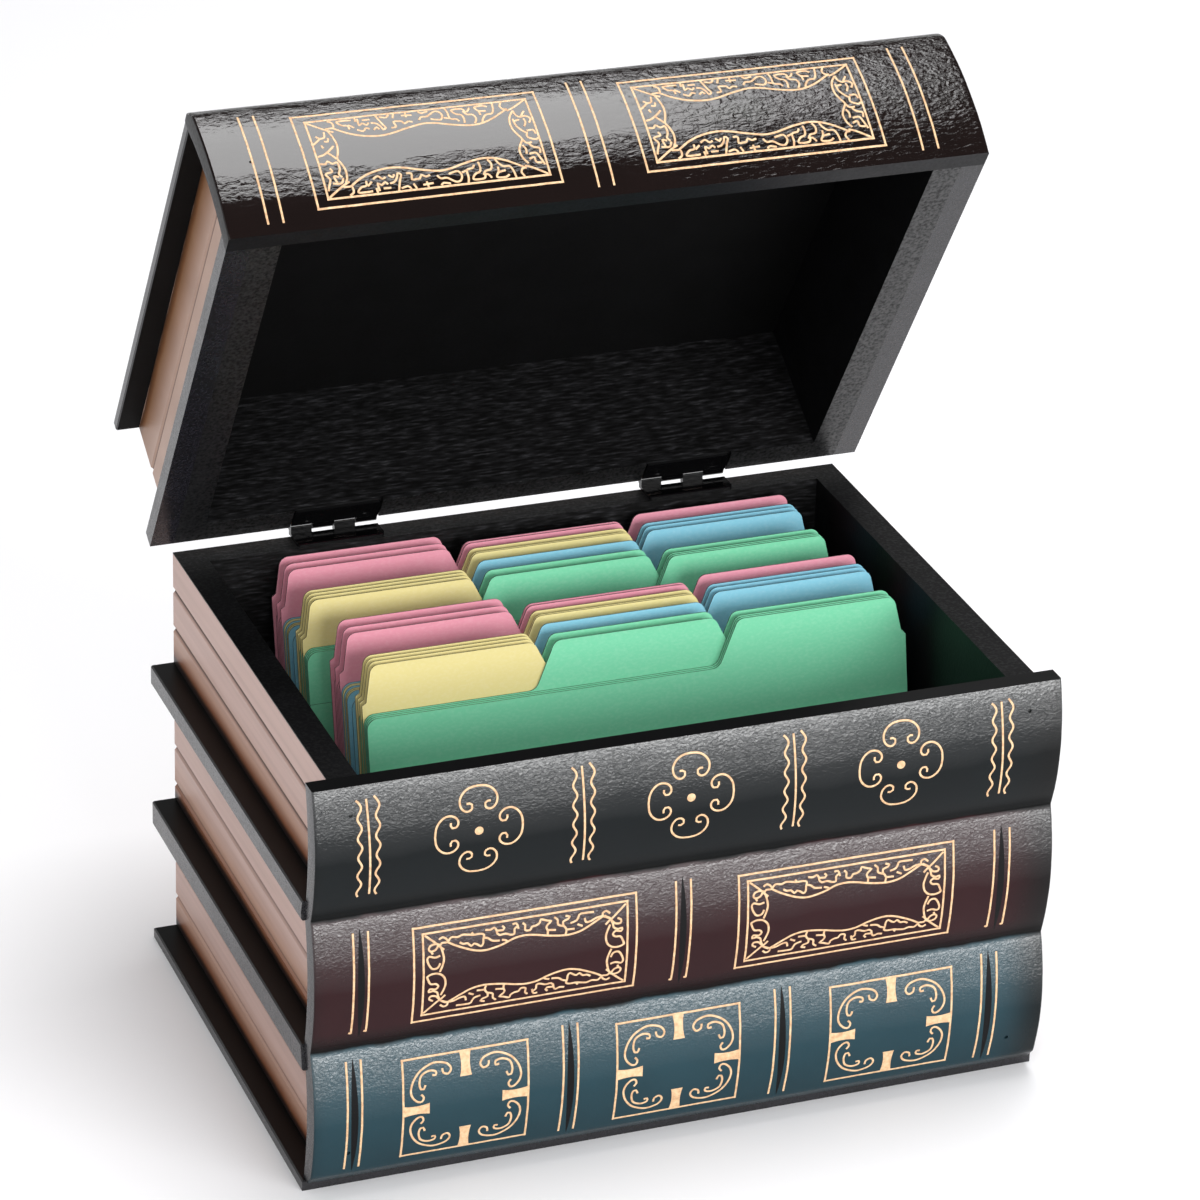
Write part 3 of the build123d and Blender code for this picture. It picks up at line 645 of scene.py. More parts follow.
def shapeSpine(name, length, outline, place, finishes, seed):
    # finishes are those of the front, of the cut ends and of the inside
    face, inner = outline
    section, half, ease = face + inner, length / 2, board["ease"]
    ends = [-half + ease * t for t in board["ends"]]
    stations = int((length - ease * 4) / board["step"]) + 1
    middle = [-half + ease * 2 + index * board["step"] for index in range(stations)]
    xs = ends + middle + [-x for x in reversed(ends)]
    verts = []
    for x in xs:
        away = max(0.0, 1 - (half - abs(x)) / ease)
        tuck = ease * (1 - (1 - away * away) ** 0.5)  # quarter round at both ends of the front
        near = max(0.0, 1 - (half - abs(x)) / board["nearEnd"])
        for index, (depth, height) in enumerate(section):
            shift = 0.0
            if index < len(face):
                where = Vector((x * board["waves"][0], height * board["waves"][1], seed))
                wave = noise.noise(where) + near * noise.noise(where * 6.0)
                shift = tuck + board["wave"] * (0.5 + 0.5 * wave)
            verts.append(place(x, depth + shift, height))
    faces, count = [], len(section)
    last = (len(xs) - 1) * count
    for low in range(0, last, count):
        for index in range(count):
            following = (index + 1) % count
            faces.append((low + index, low + following, low + count + following, low + count + index))
    faces.append(tuple(range(count)))
    faces.append(tuple(last + index for index in reversed(range(count))))
    spine = makeObject(name, verts, faces, finishes[0])
    for material in finishes[1:]:
        spine.data.materials.append(material)
    rimWay, inWay = ((place(*way) - place(0, 0, 0)).normalized() for way in ((0, 0, 1), (0, 1, 0)))
    for polygon in spine.data.polygons:
        if abs(polygon.normal.x) > 0.97 or abs(polygon.normal.dot(rimWay)) > 0.97:
            polygon.material_index = 1
        elif polygon.normal.dot(inWay) > 0.5:
            polygon.material_index = 2
    spine.data.set_sharp_from_angle(angle=radians(38))
    return spine


def drill(spine, place, size):
    # sunk brad holes, cut one after another
    radius, outside, bottom = size["hole"]
    for side in (-stack["bradSide"], stack["bradSide"]):
        for height in size["holeHeights"]:
            start, end = place(side, outside, height), place(side, bottom, height)
            turn = (end - start).to_track_quat("Z", "Y").to_matrix().to_4x4()
            length = (end - start).length
            bpy.ops.mesh.primitive_cylinder_add(vertices=16, radius=radius * mm, depth=length)
            cutter = bpy.context.object
            cutter.matrix_world = Matrix.Translation((start + end) / 2) @ turn
            modifier = spine.modifiers.new("drill", "BOOLEAN")
            modifier.object, modifier.operation, modifier.solver = cutter, "DIFFERENCE", "EXACT"
            makePlain(spine)
            bpy.data.objects.remove(cutter)


print("shaping the spine boards")
flatBlack = feltedBlack("insideFlatBlack", "inside", 0.6, 0.15)
lidRimBlack = feltedBlack("lidRimBlack", "lidRim", 0.36, 0.2)
boxFinish, lidFinish = (boxLacquer(), satinBlack, flatBlack), (lidLacquer(), lidRimBlack, flatBlack)
bookSpines = shapeSpine("bookSpines", stack["spineLength"], boxOutline(), boxPoint, boxFinish, 3.1)
lidBookSpine = shapeSpine("lidBookSpine", stack["coverLength"], lidOutline(), lidPoint, lidFinish, 8.4)
drill(bookSpines, boxPoint, boxSpine)
drill(lidBookSpine, lidPoint, lidSpine)
for spine, body, node in ((bookSpines, "box", "box_spine_board"), (lidBookSpine, "lid", "lid_spine_board")):
    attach(spine, body)
    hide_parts(node)

# gilding, in millimetres: across a spine from its middle, and up from the table or from the lid's rim
gilding = {
    "colours": [(0.3, "#bd9570"), (0.5, "#d6b087"), (0.75, "#e2c29c")],
    "flow": 1.111,
    "line": 0.6,
    "raised": 0.07,
    "ruled": {"step": 1.2, "tremble": 0.06},
    "wave": {"length": 5.35, "reach": 0.55, "tremble": 0.15, "steps": 60},
    "dot": 1.15,
    "square": (33.4, 28.7),  # size at which the third book's scrolls were drawn
    "spool": {"down": 6.8, "across": 7.1, "half": 1.6, "waist": 0.42},
}
firstBook = {
    "waves": (-87.9, -30.9, 26.7, 84.9),
    "waveSpan": (87.8, 115.0),
    "quatrefoils": (-59.0, -1.9, 56.2),
    "middle": 102.1,
}
secondBook = {
    "panels": ((-75.6, -15.4), (12.9, 73.4)),
    "spans": ((48.3, 75.7), (50.2, 73.9)),  # heights of the outer and inner frame
    "inset": (2.5, 2.5),
    "pairs": ((-91.6, -87.6), (-4.6, -0.5), (85.0, 89.4)),
    "pairSpan": (48.0, 77.0),
    "serif": 0.7,
    "spindles": (46.5, 78.0, 0.9),
}
thirdBook = {
    "squares": ((-78.1, -44.1), (-19.6, 14.7), (40.4, 75.2)),
    "squareSpan": (8.6, 37.4),
    "pairs": ((-93.1, -89.2), (-34.5, -30.4), (24.6, 28.9), (83.8, 88.2)),
    "pairSpan": (7.6, 39.5),
    "spindles": (6.8, 40.0, 0.95),
}
lidBook = {
    "panels": ((-78.6, -13.9), (9.2, 75.0)),
    "spans": ((5.1, 33.3), (7.4, 31.2)),
    "inset": (3.1, 2.8),
    "pairs": ((-92.0, -88.0), (-4.5, -0.4), (85.1, 89.4)),
    "pairSpan": (2.6, 35.4),
}


def giltPaint():
    # opaque pale gold craft paint laid on with a liner, slightly domed, no metal in it
    material, tree, shader, place = startMaterial("paleGoldPaint", Roughness=0.42, Specular_IOR_Level=0.4)
    flowScale = patternScale(gilding["flow"])
    flow = addNode(tree, "TexNoise", {"Vector": place, "Scale": flowScale, "Detail": 3.0})
    colour = addNode(tree, "ValToRGB", {"Fac": flow})
    setRamp(colour, gilding["colours"])
    feed(tree, shader, {"Base Color": colour})
    return material


class Face:
    def __init__(self, spine, place, base, outside):
        self.tree = BVHTree.FromObject(spine, bpy.context.evaluated_depsgraph_get())
        self.place, self.base, self.outside = place, base, outside
        self.lines, self.bars, self.spindles = [], [], []

    def point(self, across, up):
        start = self.place(across, self.outside, self.base + up)
        inward = (self.place(0, 0, 0) - self.place(0, self.outside, 0)).normalized()
        hit, normal = self.tree.ray_cast(start, inward)[:2]
        return hit, -normal if normal.dot(inward) > 0 else normal


def smoothPath(points, step=0.45):
    # Catmull-Rom through the points, in steps of about the given length
    path = []
    ends = [points[0], *points, points[-1]]
    for a, b, c, d in zip(ends, ends[1:], ends[2:], ends[3:]):
        pieces = max(1, int(hypot(c[0] - b[0], c[1] - b[1]) / step))
        for t in (index / pieces for index in range(pieces)):
            spot = []
            for p, q, r, s in zip(a, b, c, d):
                bend = (2 * p - 5 * q + 4 * r - s) * t * t + (3 * q - p - 3 * r + s) * t**3
                spot.append(0.5 * (2 * q + (r - p) * t + bend))
            path.append(tuple(spot))
    return [*path, tuple(points[-1])]


def straight(start, end, seed):
    # a ruled line that trembles a little
    ruled = gilding["ruled"]
    count = max(2, int(hypot(end[0] - start[0], end[1] - start[1]) / ruled["step"]))
    path = []
    for index in range(count + 1):
        t = index / count
        x, y = start[0] + (end[0] - start[0]) * t, start[1] + (end[1] - start[1]) * t
        shake = ruled["tremble"] * noise.noise(Vector((x * 0.25, y * 0.25, seed)))
        path.append((x + shake, y + shake))
    return path


def rectangle(face, left, right, bottom, top):
    half = gilding["line"] / 2
    for seed, y in ((1, top), (2, bottom)):
        face.lines.append(straight((left - half, y), (right + half, y), seed))
    for seed, x in ((3, left), (4, right)):
        face.lines.append(straight((x, bottom - half), (x, top + half), seed))


def pairedLines(face, left, right, bottom, top, serif=0.0):
    # serif is the reach of the little foot where the brush was set down
    for x in (left, right):
        face.lines.append(straight((x - 0.2, bottom), (x + 0.2, top), x))
        if serif:
            face.lines.append([(x - 0.2 - serif, bottom + 0.3), (x - 0.2, bottom)])


def spindle(face, x, bottom, top, halfWidth, count=24):
    # the dark tapered stroke between a pair of lines
    stroke = []
    for t in (index / count for index in range(count + 1)):
        wide, y = halfWidth * max(0.06, sin(pi * t) ** 0.7), bottom + (top - bottom) * t
        stroke.append(((x - wide, y), (x + wide, y)))
    face.spindles.append(stroke)


# drawings: half of a C-scroll of the first book, from the middle of its back to the curl at its end, and
# the two scrolls in a corner of the third book's squares, from the corner across and down
scrollHalf = [
    (0, 12.0), (2.3, 11.7), (4.1, 10.6), (5.1, 8.9), (4.9, 7.0), (3.8, 5.8), (2.6, 5.7), (1.8, 6.4),
    (1.8, 7.3), (2.5, 7.75), (3.3, 7.7),
]
cornerScrolls = [
    [(10.5, 3.7), (10.7, 4.9), (12.0, 5.4), (12.8, 4.2), (11.9, 2.7), (9.5, 1.9), (7.3, 2.1), (4.5, 3.6),
     (2.7, 6.0), (2.0, 8.6), (2.5, 10.6), (3.9, 12.0), (5.0, 12.0), (5.4, 10.9), (4.7, 10.0)],
    [(7.8, 5.1), (8.7, 5.2), (8.7, 4.2), (6.9, 3.8), (4.9, 4.8), (4.3, 7.0), (4.7, 8.5), (5.4, 8.6),
     (5.9, 7.5)],
]
# worm lines of a panel, drawn in one panel's own millimetres inside its inner frame and fitted to the
# others. The second book repeats its half turned round, the lid its upper band upside down
bookOrnament = {
    "frame": (15.4, 71.0, 50.2, 73.9),
    "again": "turned",
    "strokes": [
        [(22, 70.8), (24, 69.6), (26.5, 68.4), (29, 67.4), (31.5, 66.9), (34, 67.1), (37, 67.8), (40, 68.9),
         (43, 69.2), (46, 68.8), (49, 68.1), (52, 67.6), (55, 67.4), (58, 67.9), (60.5, 69), (63, 70.3),
         (64.2, 70.9)],
        [(22, 70.8), (23, 71.9), (24.7, 71.7), (26, 72.1), (27.5, 71.9), (29, 71.6), (30.8, 71.6),
         (31.8, 71.2), (31.6, 70), (31.5, 68.8), (30.9, 68.2), (30, 68.8), (29.1, 69.2), (28.3, 68.7),
         (27.3, 69.6), (26.2, 69.6), (25.2, 70.2)],
        [(28.5, 72.3), (29.1, 71.6)],
        [(31.8, 70.4), (33, 70), (34, 69.2), (36, 68.9)],
        [(32.2, 72.4), (33.6, 72.2), (34.6, 72.6), (35.2, 71.9), (35.4, 70.9), (36, 70.4), (37.6, 70.5),
         (39, 70), (40, 70.1), (40.1, 71.4), (41, 71.9), (41.2, 71.3)],
        [(39.6, 72.7), (40.6, 72.8), (41.1, 71.8)],
        [(35.3, 71.7), (37, 71.6), (37.4, 72.1), (36.8, 72.7)],
        [(36.6, 69), (37.6, 68.7), (38.2, 68.3)],
        [(42.3, 72.6), (43, 72), (43, 70.6), (44.3, 70.4), (44.8, 71.2), (46, 71.4), (47, 72), (47.3, 72.8),
         (49, 72.2), (50.1, 71.9), (49.2, 71.2), (48.7, 70.4), (49.1, 69.4), (49, 68.3)],
        [(49.2, 69.6), (51.3, 69.3)],
        [(50.9, 72.8), (51.8, 72), (51.9, 70.7), (52.8, 70.2), (53.6, 69.9), (54.2, 68.8), (53.9, 67.7)],
        [(53.4, 70.2), (53.3, 71.2), (54.8, 71.8), (55.2, 72.3), (54, 72.7)],
        [(54.4, 68.9), (56.4, 68.8)],
        [(55.3, 70.5), (57, 71), (57.6, 72), (58.2, 72.6), (61.8, 72.5)],
        [(57.2, 69.9), (58.6, 69.2)],
        [(59.2, 71.3), (59.6, 70.1), (61, 70.2), (62.4, 70.8), (64.2, 70.9), (66, 70.1)],
        [(70.6, 73.3), (67, 70.2), (66, 69.5), (64.9, 68.5)],
        [(64.2, 70.9), (64.2, 71.8), (65.2, 72.2), (66.2, 71.4)],
        [(15.9, 73.5), (18.5, 71.3), (20.2, 69.6), (21, 68.9)],
        [(19.7, 71.8), (20.6, 72.3), (21.6, 71.8), (22, 70.8), (20.4, 70.8), (19.9, 70)],
        [(19.9, 70.4), (18.6, 70.8), (17.2, 70.4), (16.9, 69.4), (17.6, 68.9), (18.8, 69.3), (19.4, 70.2)],
        [(17.5, 68.9), (17.9, 68.1)],
        [(19.9, 67.4), (18.5, 67.1), (17, 67.6), (16.4, 66.9), (16.8, 65.4), (17.8, 64), (19.2, 64.1),
         (19.9, 65.3)],
        [(20.2, 69.6), (20.6, 68.2), (20.9, 66.4), (20.6, 64.8), (19.8, 62.8)],
        [(16.3, 61.9), (17.6, 62.5), (19.6, 62.3), (21, 61), (21.4, 59), (20.9, 57.2), (20.2, 55.8)],
        [(16.3, 62), (16.8, 60.6), (17.4, 59.6), (18.8, 59.4), (19.5, 58.6), (18.7, 57.8), (17.2, 58.1),
         (16.9, 57.2), (18, 57.4), (19.2, 56.8), (19.5, 55.6), (20, 54.5)],
        [(18.2, 54.3), (17.2, 54.9), (17.4, 55.8), (18.8, 55.7), (19.6, 54.9), (20.3, 54), (21.8, 53.1)],
    ],
    "sides": [],
}
lidOrnament = {
    "frame": (-75.4, -16.6, 7.4, 31.2),
    "again": "mirrored",
    "strokes": [
        [(-68.9, 28.4), (-66, 26.5), (-63, 25.2), (-60, 24.5), (-57, 24.3), (-54, 24.7), (-51, 25.5),
         (-48, 26.2), (-45, 26.7), (-42, 26.4), (-39, 25.6), (-36, 24.9), (-33, 24.5), (-30, 24.8),
         (-27, 25.9), (-24.5, 27.3), (-22.5, 28.5)],
        [(-63.5, 30.3), (-65.4, 30.4), (-67.3, 30.2), (-66.2, 28.9), (-64.8, 28.6), (-64.6, 27.3)],
        [(-64.5, 28.8), (-63.2, 27.7)],
        [(-62.3, 31), (-62.4, 29.6)],
        [(-61.7, 30.5), (-61.8, 28.3), (-60.9, 28.9), (-59.8, 28.2), (-59.2, 28.9)],
        [(-60.6, 29.9), (-58.6, 29.9)],
        [(-62.7, 27), (-61.3, 26.3), (-60.3, 27.2), (-59.4, 26.8)],
        [(-56.8, 31), (-56.3, 29.4), (-55.8, 28), (-55.2, 26.6), (-56, 26.1), (-56.4, 27.2), (-57.4, 28.4),
         (-58.6, 28.7)],
        [(-58.5, 26.3), (-57.5, 27.1), (-57, 26.3)],
        [(-56, 30.4), (-54.2, 30), (-53.4, 30.9)],
        [(-53.8, 26.4), (-52.5, 26.6), (-52.7, 28.3), (-51.6, 28.3), (-50.6, 28.2), (-50, 27.3),
         (-49, 27.9), (-47.8, 27.6)],
        [(-52, 30.9), (-52.6, 29.5)],
        [(-50.2, 30.1), (-47.4, 29.9)],
        [(-48.9, 30.9), (-49.1, 29.3)],
        [(-46, 27.9), (-45.2, 28.9), (-43.6, 28.9), (-41.6, 30.2), (-40.3, 30.1), (-39.6, 28.8),
         (-40.3, 27.4), (-41.9, 27.6), (-42.9, 27.9)],
        [(-45.5, 30.8), (-44.8, 30.2), (-43, 30.6)],
        [(-38.4, 31), (-38, 29.5), (-37.9, 27.4), (-36.2, 26.9), (-35.8, 26.1)],
        [(-39.4, 27.9), (-37.9, 27.4)],
        [(-32, 30.3), (-32.4, 29.5), (-33.3, 29), (-34, 30.2), (-36.8, 30.1), (-36, 28.7), (-34.7, 28.2),
         (-34.3, 27), (-34.5, 25.4)],
        [(-33.9, 29.3), (-33.2, 28.2), (-31.6, 27.8), (-31.2, 26.3), (-31.9, 25)],
        [(-27.2, 29.9), (-28.4, 30.5), (-30.6, 30.2), (-29.8, 28.7), (-29.7, 27.4)],
        [(-29.8, 28.9), (-27.9, 28.6)],
        [(-25.6, 31), (-25.9, 29), (-26.6, 27.6), (-28.2, 27.4), (-29.4, 26.2), (-29.9, 25)],
        [(-23.3, 30.9), (-23.9, 29.6), (-23.3, 28.6), (-22.3, 28.5)],
        [(-69.6, 30.8), (-68.5, 30.1), (-68.4, 29), (-68.6, 28.2)],
        [(-75, 30.8), (-71, 28.1), (-68.9, 27)],
        [(-17, 30.9), (-20.6, 28.7), (-22.6, 27.9)],
        [(-70.8, 28.3), (-68.9, 28.4)],
    ],
    "sides": [
        [(-70.4, 27.8), (-69.6, 25.5), (-69.2, 23.2), (-69.5, 20.8), (-70.2, 18.6), (-69.6, 17.2),
         (-69, 15), (-69.2, 12.8), (-69.9, 11.2)],
        [(-71.4, 27.3), (-71.8, 25.6), (-73, 25.3), (-74, 24.5), (-75.2, 23.6)],
        [(-73.9, 26.1), (-73, 25.4)],
        [(-70.9, 25.3), (-71.2, 24.2), (-72.2, 24.4)],
        [(-73.2, 23.2), (-72.9, 22.2)],
        [(-70.2, 22.6), (-71.8, 21.2), (-73.4, 20.2), (-75, 19.8)],
        [(-72.4, 20.9), (-71.2, 19.6), (-70.4, 18.6)],
        [(-75, 17.6), (-73.6, 17.4), (-73, 18.2), (-71.8, 17.3), (-70.6, 17.6), (-70.4, 15.6), (-71, 14),
         (-70.3, 13.1)],
        [(-72.9, 16), (-72.5, 15), (-74.4, 14.4), (-73.6, 12.8), (-74.3, 11), (-74.8, 9.6)],
        [(-71.2, 13.2), (-72.4, 13.6), (-72, 11.6)],
        [(-73.2, 11.6), (-71, 11.4), (-70.2, 12.8)],
        [(-21, 27.7), (-22.3, 26), (-22.9, 24), (-22.8, 21.8), (-21.9, 19.8), (-21.2, 18.4), (-22, 17),
         (-22.8, 15.2), (-22.5, 13), (-21.4, 11.2)],
        [(-21, 27.7), (-20.6, 26), (-19.6, 25.4), (-18.4, 25.6), (-17.2, 24.6), (-17.9, 23.2)],
        [(-18.2, 27.2), (-19.4, 25.6)],
        [(-21.8, 25), (-21.6, 22.8), (-20.4, 21), (-19.4, 20.2)],
        [(-21.7, 24.3), (-20.2, 24.6)],
        [(-19.5, 22.2), (-18.8, 23.6), (-19, 24.8)],
        [(-19.3, 20.8), (-17.6, 20.9), (-17.2, 19.6)],
        [(-19.3, 20.4), (-19.6, 18.9), (-17.6, 17.9), (-16.9, 18.4)],
        [(-21.3, 18.6), (-20.4, 17.2), (-18.9, 17.2)],
        [(-21.6, 16.6), (-21, 15.4), (-21.2, 14)],
        [(-19.8, 16.8), (-18.9, 15.8), (-17.4, 15.2), (-17.6, 13.8)],
        [(-20.5, 13.9), (-18.7, 14), (-18, 12.6), (-17.2, 10.4)],
        [(-20.9, 12.4), (-19.5, 12.8), (-19.3, 11.4), (-17.8, 11)],
    ],
}


def quatrefoil(face, centreX, centreY):
    # four C-scrolls with their curls inwards, and a dot
    half = smoothPath(scrollHalf)
    whole = [(-x, y) for x, y in reversed(half[1:])] + half
    for turn in range(4):
        c, s = cos(turn * pi / 2), sin(turn * pi / 2)
        face.lines.append([(centreX + (x * c - y * s) * 0.97, centreY + (x * s + y * c)) for x, y in whole])
    heights, dot = [-0.98 + 1.96 * index / 12 for index in range(13)], gilding["dot"]
    edges = [(centreY + t * dot, (1 - t * t) ** 0.5 * dot) for t in heights]
    face.bars.append([((centreX - wide, y), (centreX + wide, y)) for y, wide in edges])


def waved(face, x, bottom, top, seed):
    wave, path = gilding["wave"], []
    for index in range(wave["steps"] + 1):
        y = bottom + (top - bottom) * index / wave["steps"]
        tremble = wave["tremble"] * noise.noise(Vector((y * 0.3, seed, 0)))
        path.append((x + wave["reach"] * sin(2 * pi * y / wave["length"] + seed) + tremble, y))
    face.lines.append([*path, (x - 0.7, top + 0.5)])


def waveGroup(face, x, bottom, top):
    # a plain line between two waved ones
    waved(face, x - 2.4, bottom, top - 0.6, 0.9)
    middle = [(x + 0.45, bottom + 0.4), (x + 0.3, bottom + 9.0), (x - 0.1, top - 7.0), (x - 0.35, top)]
    face.lines.append(smoothPath(middle, 1.0))
    waved(face, x + 2.4, bottom, top, 0.6)


def scrolledSquare(face, left, right, bottom, top):
    # a frame with scrolls in its corners and a spool in the middle of each side
    rectangle(face, left, right, bottom, top)
    drawnWide, drawnTall = gilding["square"]
    wide, tall = (right - left) / drawnWide, (top - bottom) / drawnTall
    for outline in cornerScrolls:
        path = [(x * wide, y * tall) for x, y in smoothPath(outline)]
        for flipX in (False, True):
            for flipY in (False, True):
                corner = [(right - x if flipX else left + x, bottom + y if flipY else top - y) for x, y in path]
                face.lines.append(corner)
    spool, steps = gilding["spool"], [index / 8 for index in range(9)]
    waist = [spool["half"] - spool["waist"] * sin(pi * t) ** 0.8 for t in steps]
    middleX, middleY = (left + right) / 2, (bottom + top) / 2
    for sign, end in ((1, top), (-1, bottom)):
        rows = zip([end - sign * spool["down"] * t for t in steps], waist)
        face.bars.append([((middleX - half, y), (middleX + half, y)) for y, half in rows])
    for sign, end in ((1, right), (-1, left)):
        rows = zip([end - sign * spool["across"] * t for t in steps], waist)
        face.bars.append([((x, middleY - half), (x, middleY + half)) for x, half in rows])


def panel(face, left, right, book, ornament):
    # a double frame round a plain field with waved borders, the band between filled with worm lines
    (bottom, top), (low, high) = book["spans"]
    near, far = left + book["inset"][0], right - book["inset"][1]
    rectangle(face, left, right, bottom, top)
    rectangle(face, near, far, low, high)
    fromX, toX, fromY, toY = ornament["frame"]
    turned, strokes = ornament["again"] == "turned", ornament["strokes"]
    again = [[(fromX + toX - x if turned else x, fromY + toY - y) for x, y in line] for line in strokes]
    wide, tall = (far - near) / (toX - fromX), (high - low) / (toY - fromY)
    for line in [*strokes, *ornament["sides"], *again]:
        fitted = [(near + (x - fromX) * wide, low + (y - fromY) * tall) for x, y in line]
        face.lines.append(smoothPath(fitted, 0.4))


def lineTree(material):
    # lines on a surface, lifted into low domes: Mesh to Curve, normals from the surface, Curve to Mesh
    tree = bpy.data.node_groups.new("brushedLines", "GeometryNodeTree")
    sockets = {}
    tree.interface.new_socket("Geometry", in_out="INPUT", socket_type="NodeSocketGeometry")
    for name in ("Line width", "Paint height"):
        socket = tree.interface.new_socket(name, in_out="INPUT", socket_type="NodeSocketFloat")
        sockets[name] = socket.identifier
    tree.interface.new_socket("Geometry", in_out="OUTPUT", socket_type="NodeSocketGeometry")
    given = addNode(tree, "NodeGroupInput")
    curve = addNode(tree, "GeometryNodeMeshToCurve", {"Mesh": given.outputs["Geometry"]})
    stored = {"Name": "surfaceNormal"}
    normal = addNode(tree, "GeometryNodeInputNamedAttribute", stored, data_type="FLOAT_VECTOR")
    turned = addNode(tree, "GeometryNodeSetCurveNormal", {"Curve": curve, "Normal": normal}, mode="FREE")
    circle = addNode(tree, "GeometryNodeCurvePrimitiveCircle", {"Resolution": 8, "Radius": 1.0})
    half = addNode(tree, "Math", {0: given.outputs["Line width"], 1: 0.5}, operation="MULTIPLY")
    size = addNode(tree, "CombineXYZ", {"X": given.outputs["Paint height"], "Y": half, "Z": 1.0})
    flat = addNode(tree, "GeometryNodeTransform", {"Geometry": circle, "Scale": size})
    swept = {"Curve": turned, "Profile Curve": flat, "Fill Caps": True}
    bead = addNode(tree, "GeometryNodeCurveToMesh", swept)
    real = addNode(tree, "GeometryNodeRealizeInstances", {"Geometry": bead})
    painted = addNode(tree, "GeometryNodeSetMaterial", {"Geometry": real, "Material": material})
    addNode(tree, "NodeGroupOutput", {"Geometry": painted})
    return tree, sockets


def brushLines(name, face, material, body):
    verts, edges, normals = [], [], []
    for line in face.lines:
        for index, (across, up) in enumerate(line):
            hit, normal = face.point(across, up)
            verts.append(hit)
            normals.append(normal)
            if index:
                edges.append((len(verts) - 2, len(verts) - 1))
    mesh = bpy.data.meshes.new(name)
    mesh.from_pydata(verts, edges, [])
    attribute = mesh.attributes.new("surfaceNormal", "FLOAT_VECTOR", "POINT")
    for item, normal in zip(attribute.data, normals):
        item.vector = normal
    obj = bpy.data.objects.new(name, mesh)
    scene.collection.objects.link(obj)
    tree, sockets = lineTree(material)
    modifier = obj.modifiers.new("brushedLines", "NODES")
    modifier.node_group = tree
    modifier[sockets["Line width"]] = gilding["line"] * mm
    modifier[sockets["Paint height"]] = gilding["raised"] * mm
    makePlain(obj)
    obj.data.shade_smooth()
    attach(obj, body)  # no slot: the record has none for gilding


def paintPatches(name, face, patches, material, body, raised, sunk=0.1):
    # flat strokes of paint given by their left and right edges
    verts, faces = [], []
    for patch in patches:
        first = len(verts)
        for left, right in patch:
            for across, up, lift in ((*left, -sunk), (*left, raised), (*right, raised), (*right, -sunk)):
                hit, normal = face.point(across, up)
                verts.append(hit + normal * lift * mm)
        for low in range(first, len(verts) - 4, 4):
            faces += [(low + k, low + (k + 1) % 4, low + 4 + (k + 1) % 4, low + 4 + k) for k in range(4)]
        faces.append(tuple(range(first, first + 4)))
        faces.append(tuple(reversed(range(len(verts) - 4, len(verts)))))
    obj = makeObject(name, verts, faces, material, smooth=False)
    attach(obj, body)


print("gilding the spines")
bpy.context.view_layer.update()
boxFace = Face(bookSpines, boxPoint, 0.0, -90.0)
lidFace = Face(lidBookSpine, lidPoint, lidPlace["rim"], -160.0)
for x in firstBook["waves"]:
    waveGroup(boxFace, x, *firstBook["waveSpan"])
for x in firstBook["quatrefoils"]:
    quatrefoil(boxFace, x, firstBook["middle"])
for left, right in secondBook["panels"]:
    panel(boxFace, left, right, secondBook, bookOrnament)
for left, right in secondBook["pairs"]:
    pairedLines(boxFace, left, right, *secondBook["pairSpan"], secondBook["serif"])
    spindle(boxFace, (left + right) / 2, *secondBook["spindles"])
for left, right in thirdBook["squares"]:
    scrolledSquare(boxFace, left, right, *thirdBook["squareSpan"])
for left, right in thirdBook["pairs"]:
    pairedLines(boxFace, left, right, *thirdBook["pairSpan"])
    spindle(boxFace, (left + right) / 2, *thirdBook["spindles"])
for left, right in lidBook["panels"]:
    panel(lidFace, left, right, lidBook, lidOrnament)
for left, right in lidBook["pairs"]:
    pairedLines(lidFace, left, right, *lidBook["pairSpan"])

gilt = giltPaint()
brushLines("boxGilding", boxFace, gilt, "box")
brushLines("lidGilding", lidFace, gilt, "lid")
paintPatches("boxGiltBars", boxFace, boxFace.bars, gilt, "box", 0.05)
spindleBlack = feltedBlack("spindleBlack", "spindle", 0.4, 0.15, 0.02)
paintPatches("darkSpindles", boxFace, boxFace.spindles, spindleBlack, "box", 0.03)

# studio: pale floor, white beyond it, a softbox overhead and soft light from the left and the front.
# Each lamp has its power, its size, its place and the point that it faces
studio = {
    "lamps": {
        "overhead": (19.2, (0.8, 0.95), (0.3, 0.28, 1.75), (0.3, 0.27, 0.0)),
        "left": (3.4, (1.1, 1.1), (-1.5, -0.35, 0.75), (0, 0, 0.1)),
        "high": (5.0, (0.8, 0.8), (-0.75, -1.1, 1.25), (0, 0, 0.12)),
        "front": (30.5, (1.5, 0.7), (0.5, -1.65, 0.57), (0, 0, 0.12)),
    },
    "floor": "#ececee",
    "floorReach": 6.0,
    "ambient": 0.55,
    "white": 1.0,
    "walls": [(0.5, "#ffffff"), (0.6, "#f0f0f0"), (0.68, "#5a5a5a"), (1.0, "#4c4c4c")],  # by height seen
}

print("lighting the studio")
for name, (power, size, where, toward) in studio["lamps"].items():
    light = bpy.data.lights.new(name + "Softbox", "AREA")
    light.shape, light.size, light.size_y, light.energy = "RECTANGLE", *size, power
    lamp = bpy.data.objects.new(name + "Softbox", light)
    scene.collection.objects.link(lamp)
    turn = (Vector(where) - Vector(toward)).to_track_quat("Z", "Y").to_matrix().to_4x4()
    lamp.matrix_world = Matrix.Translation(where) @ turn

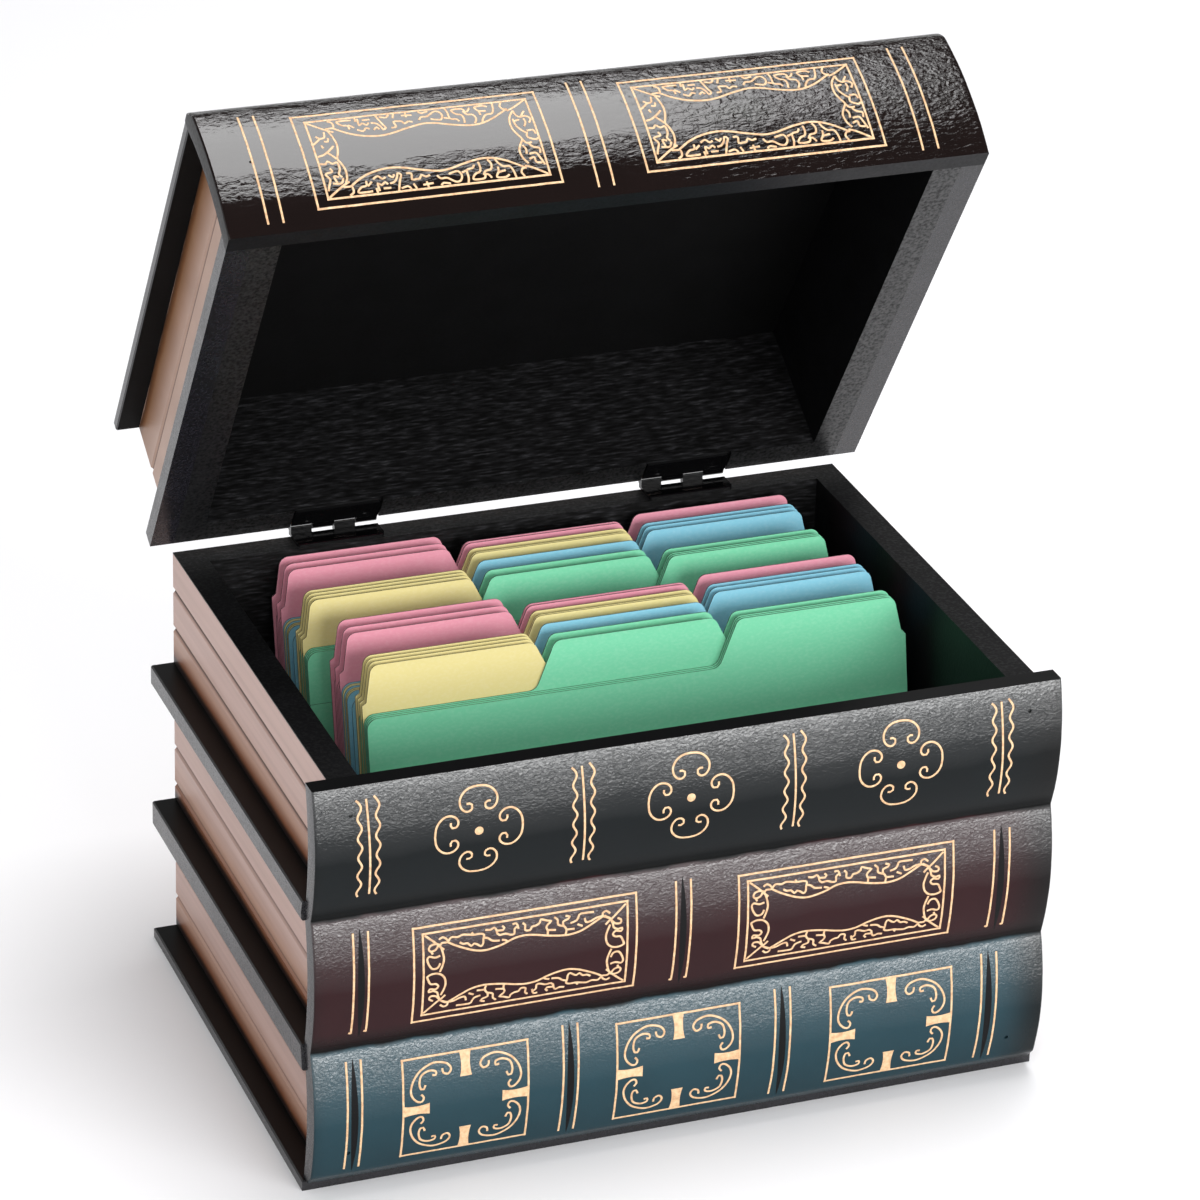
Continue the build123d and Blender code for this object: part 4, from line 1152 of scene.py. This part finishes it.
reach = studio["floorReach"]
floorMesh = bpy.data.meshes.new("studioFloor")
corners = [(-reach, -reach, 0), (reach, -reach, 0), (reach, reach, 0), (-reach, reach, 0)]
floorMesh.from_pydata(corners, [], [(0, 1, 2, 3)])
floor = bpy.data.objects.new("studioFloor", floorMesh)
scene.collection.objects.link(floor)
paper = {"Base_Color": linear(studio["floor"]), "Roughness": 0.9, "Specular_IOR_Level": 0.1}
floorMesh.materials.append(startMaterial("paleFloor", **paper)[0])

world = bpy.data.worlds.new("whiteStudio")
scene.world = world
world.use_nodes = True
sky = world.node_tree
rays = addNode(sky, "LightPath").outputs
direct = addNode(sky, "Math", {0: rays["Is Camera Ray"], 1: rays["Is Glossy Ray"]}, operation="MAXIMUM")
seen = addNode(sky, "Math", {0: direct, 1: rays["Is Transmission Ray"]}, operation="MAXIMUM")
levels = {"To Min": studio["ambient"], "To Max": studio["white"]}
strength = addNode(sky, "MapRange", {"Value": seen, **levels})
# shiny faces see the white paper up to a little above the table and a dimmer room over it
axes = addNode(sky, "SeparateXYZ", {"Vector": addNode(sky, "TexCoord").outputs["Generated"]})
heightSeen = addNode(sky, "MapRange", {"Value": axes.outputs["Z"], "From Min": -1.0})
room = addNode(sky, "ValToRGB", {"Fac": heightSeen})
setRamp(room, studio["walls"])
white = linear("#ffffff")
colour = addNode(sky, "Mix", {"Factor": rays["Is Glossy Ray"], 6: white, 7: room}, **blend)
feed(sky, sky.nodes["Background"], {"Color": colour, "Strength": strength})

# camera, solved from the straight edges of the box in the photograph
cameraFit = {
    "location": (-443.86, -1133.25, 727.26),
    "forward": (0.32711, 0.83358, -0.44514),
    "up": (0.13286, 0.42581, 0.89501),
    "focalPixels": 5141.8,
    "framePixels": 1200,
    "sensor": 36.0,
}
cameraData = bpy.data.cameras.new("photoCamera")
camera = bpy.data.objects.new("photoCamera", cameraData)
scene.collection.objects.link(camera)
forward = Vector(cameraFit["forward"]).normalized()
rightward = forward.cross(Vector(cameraFit["up"])).normalized()
turned = Matrix((rightward, rightward.cross(forward), -forward)).transposed().to_4x4()
camera.matrix_world = Matrix.Translation(Vector(cameraFit["location"]) * mm) @ turned
cameraData.sensor_width = cameraFit["sensor"]
cameraData.lens = cameraFit["focalPixels"] / cameraFit["framePixels"] * cameraFit["sensor"]
cameraData.clip_end = 50
scene.camera = camera
scene.view_settings.view_transform = "Standard"

print("finishing")
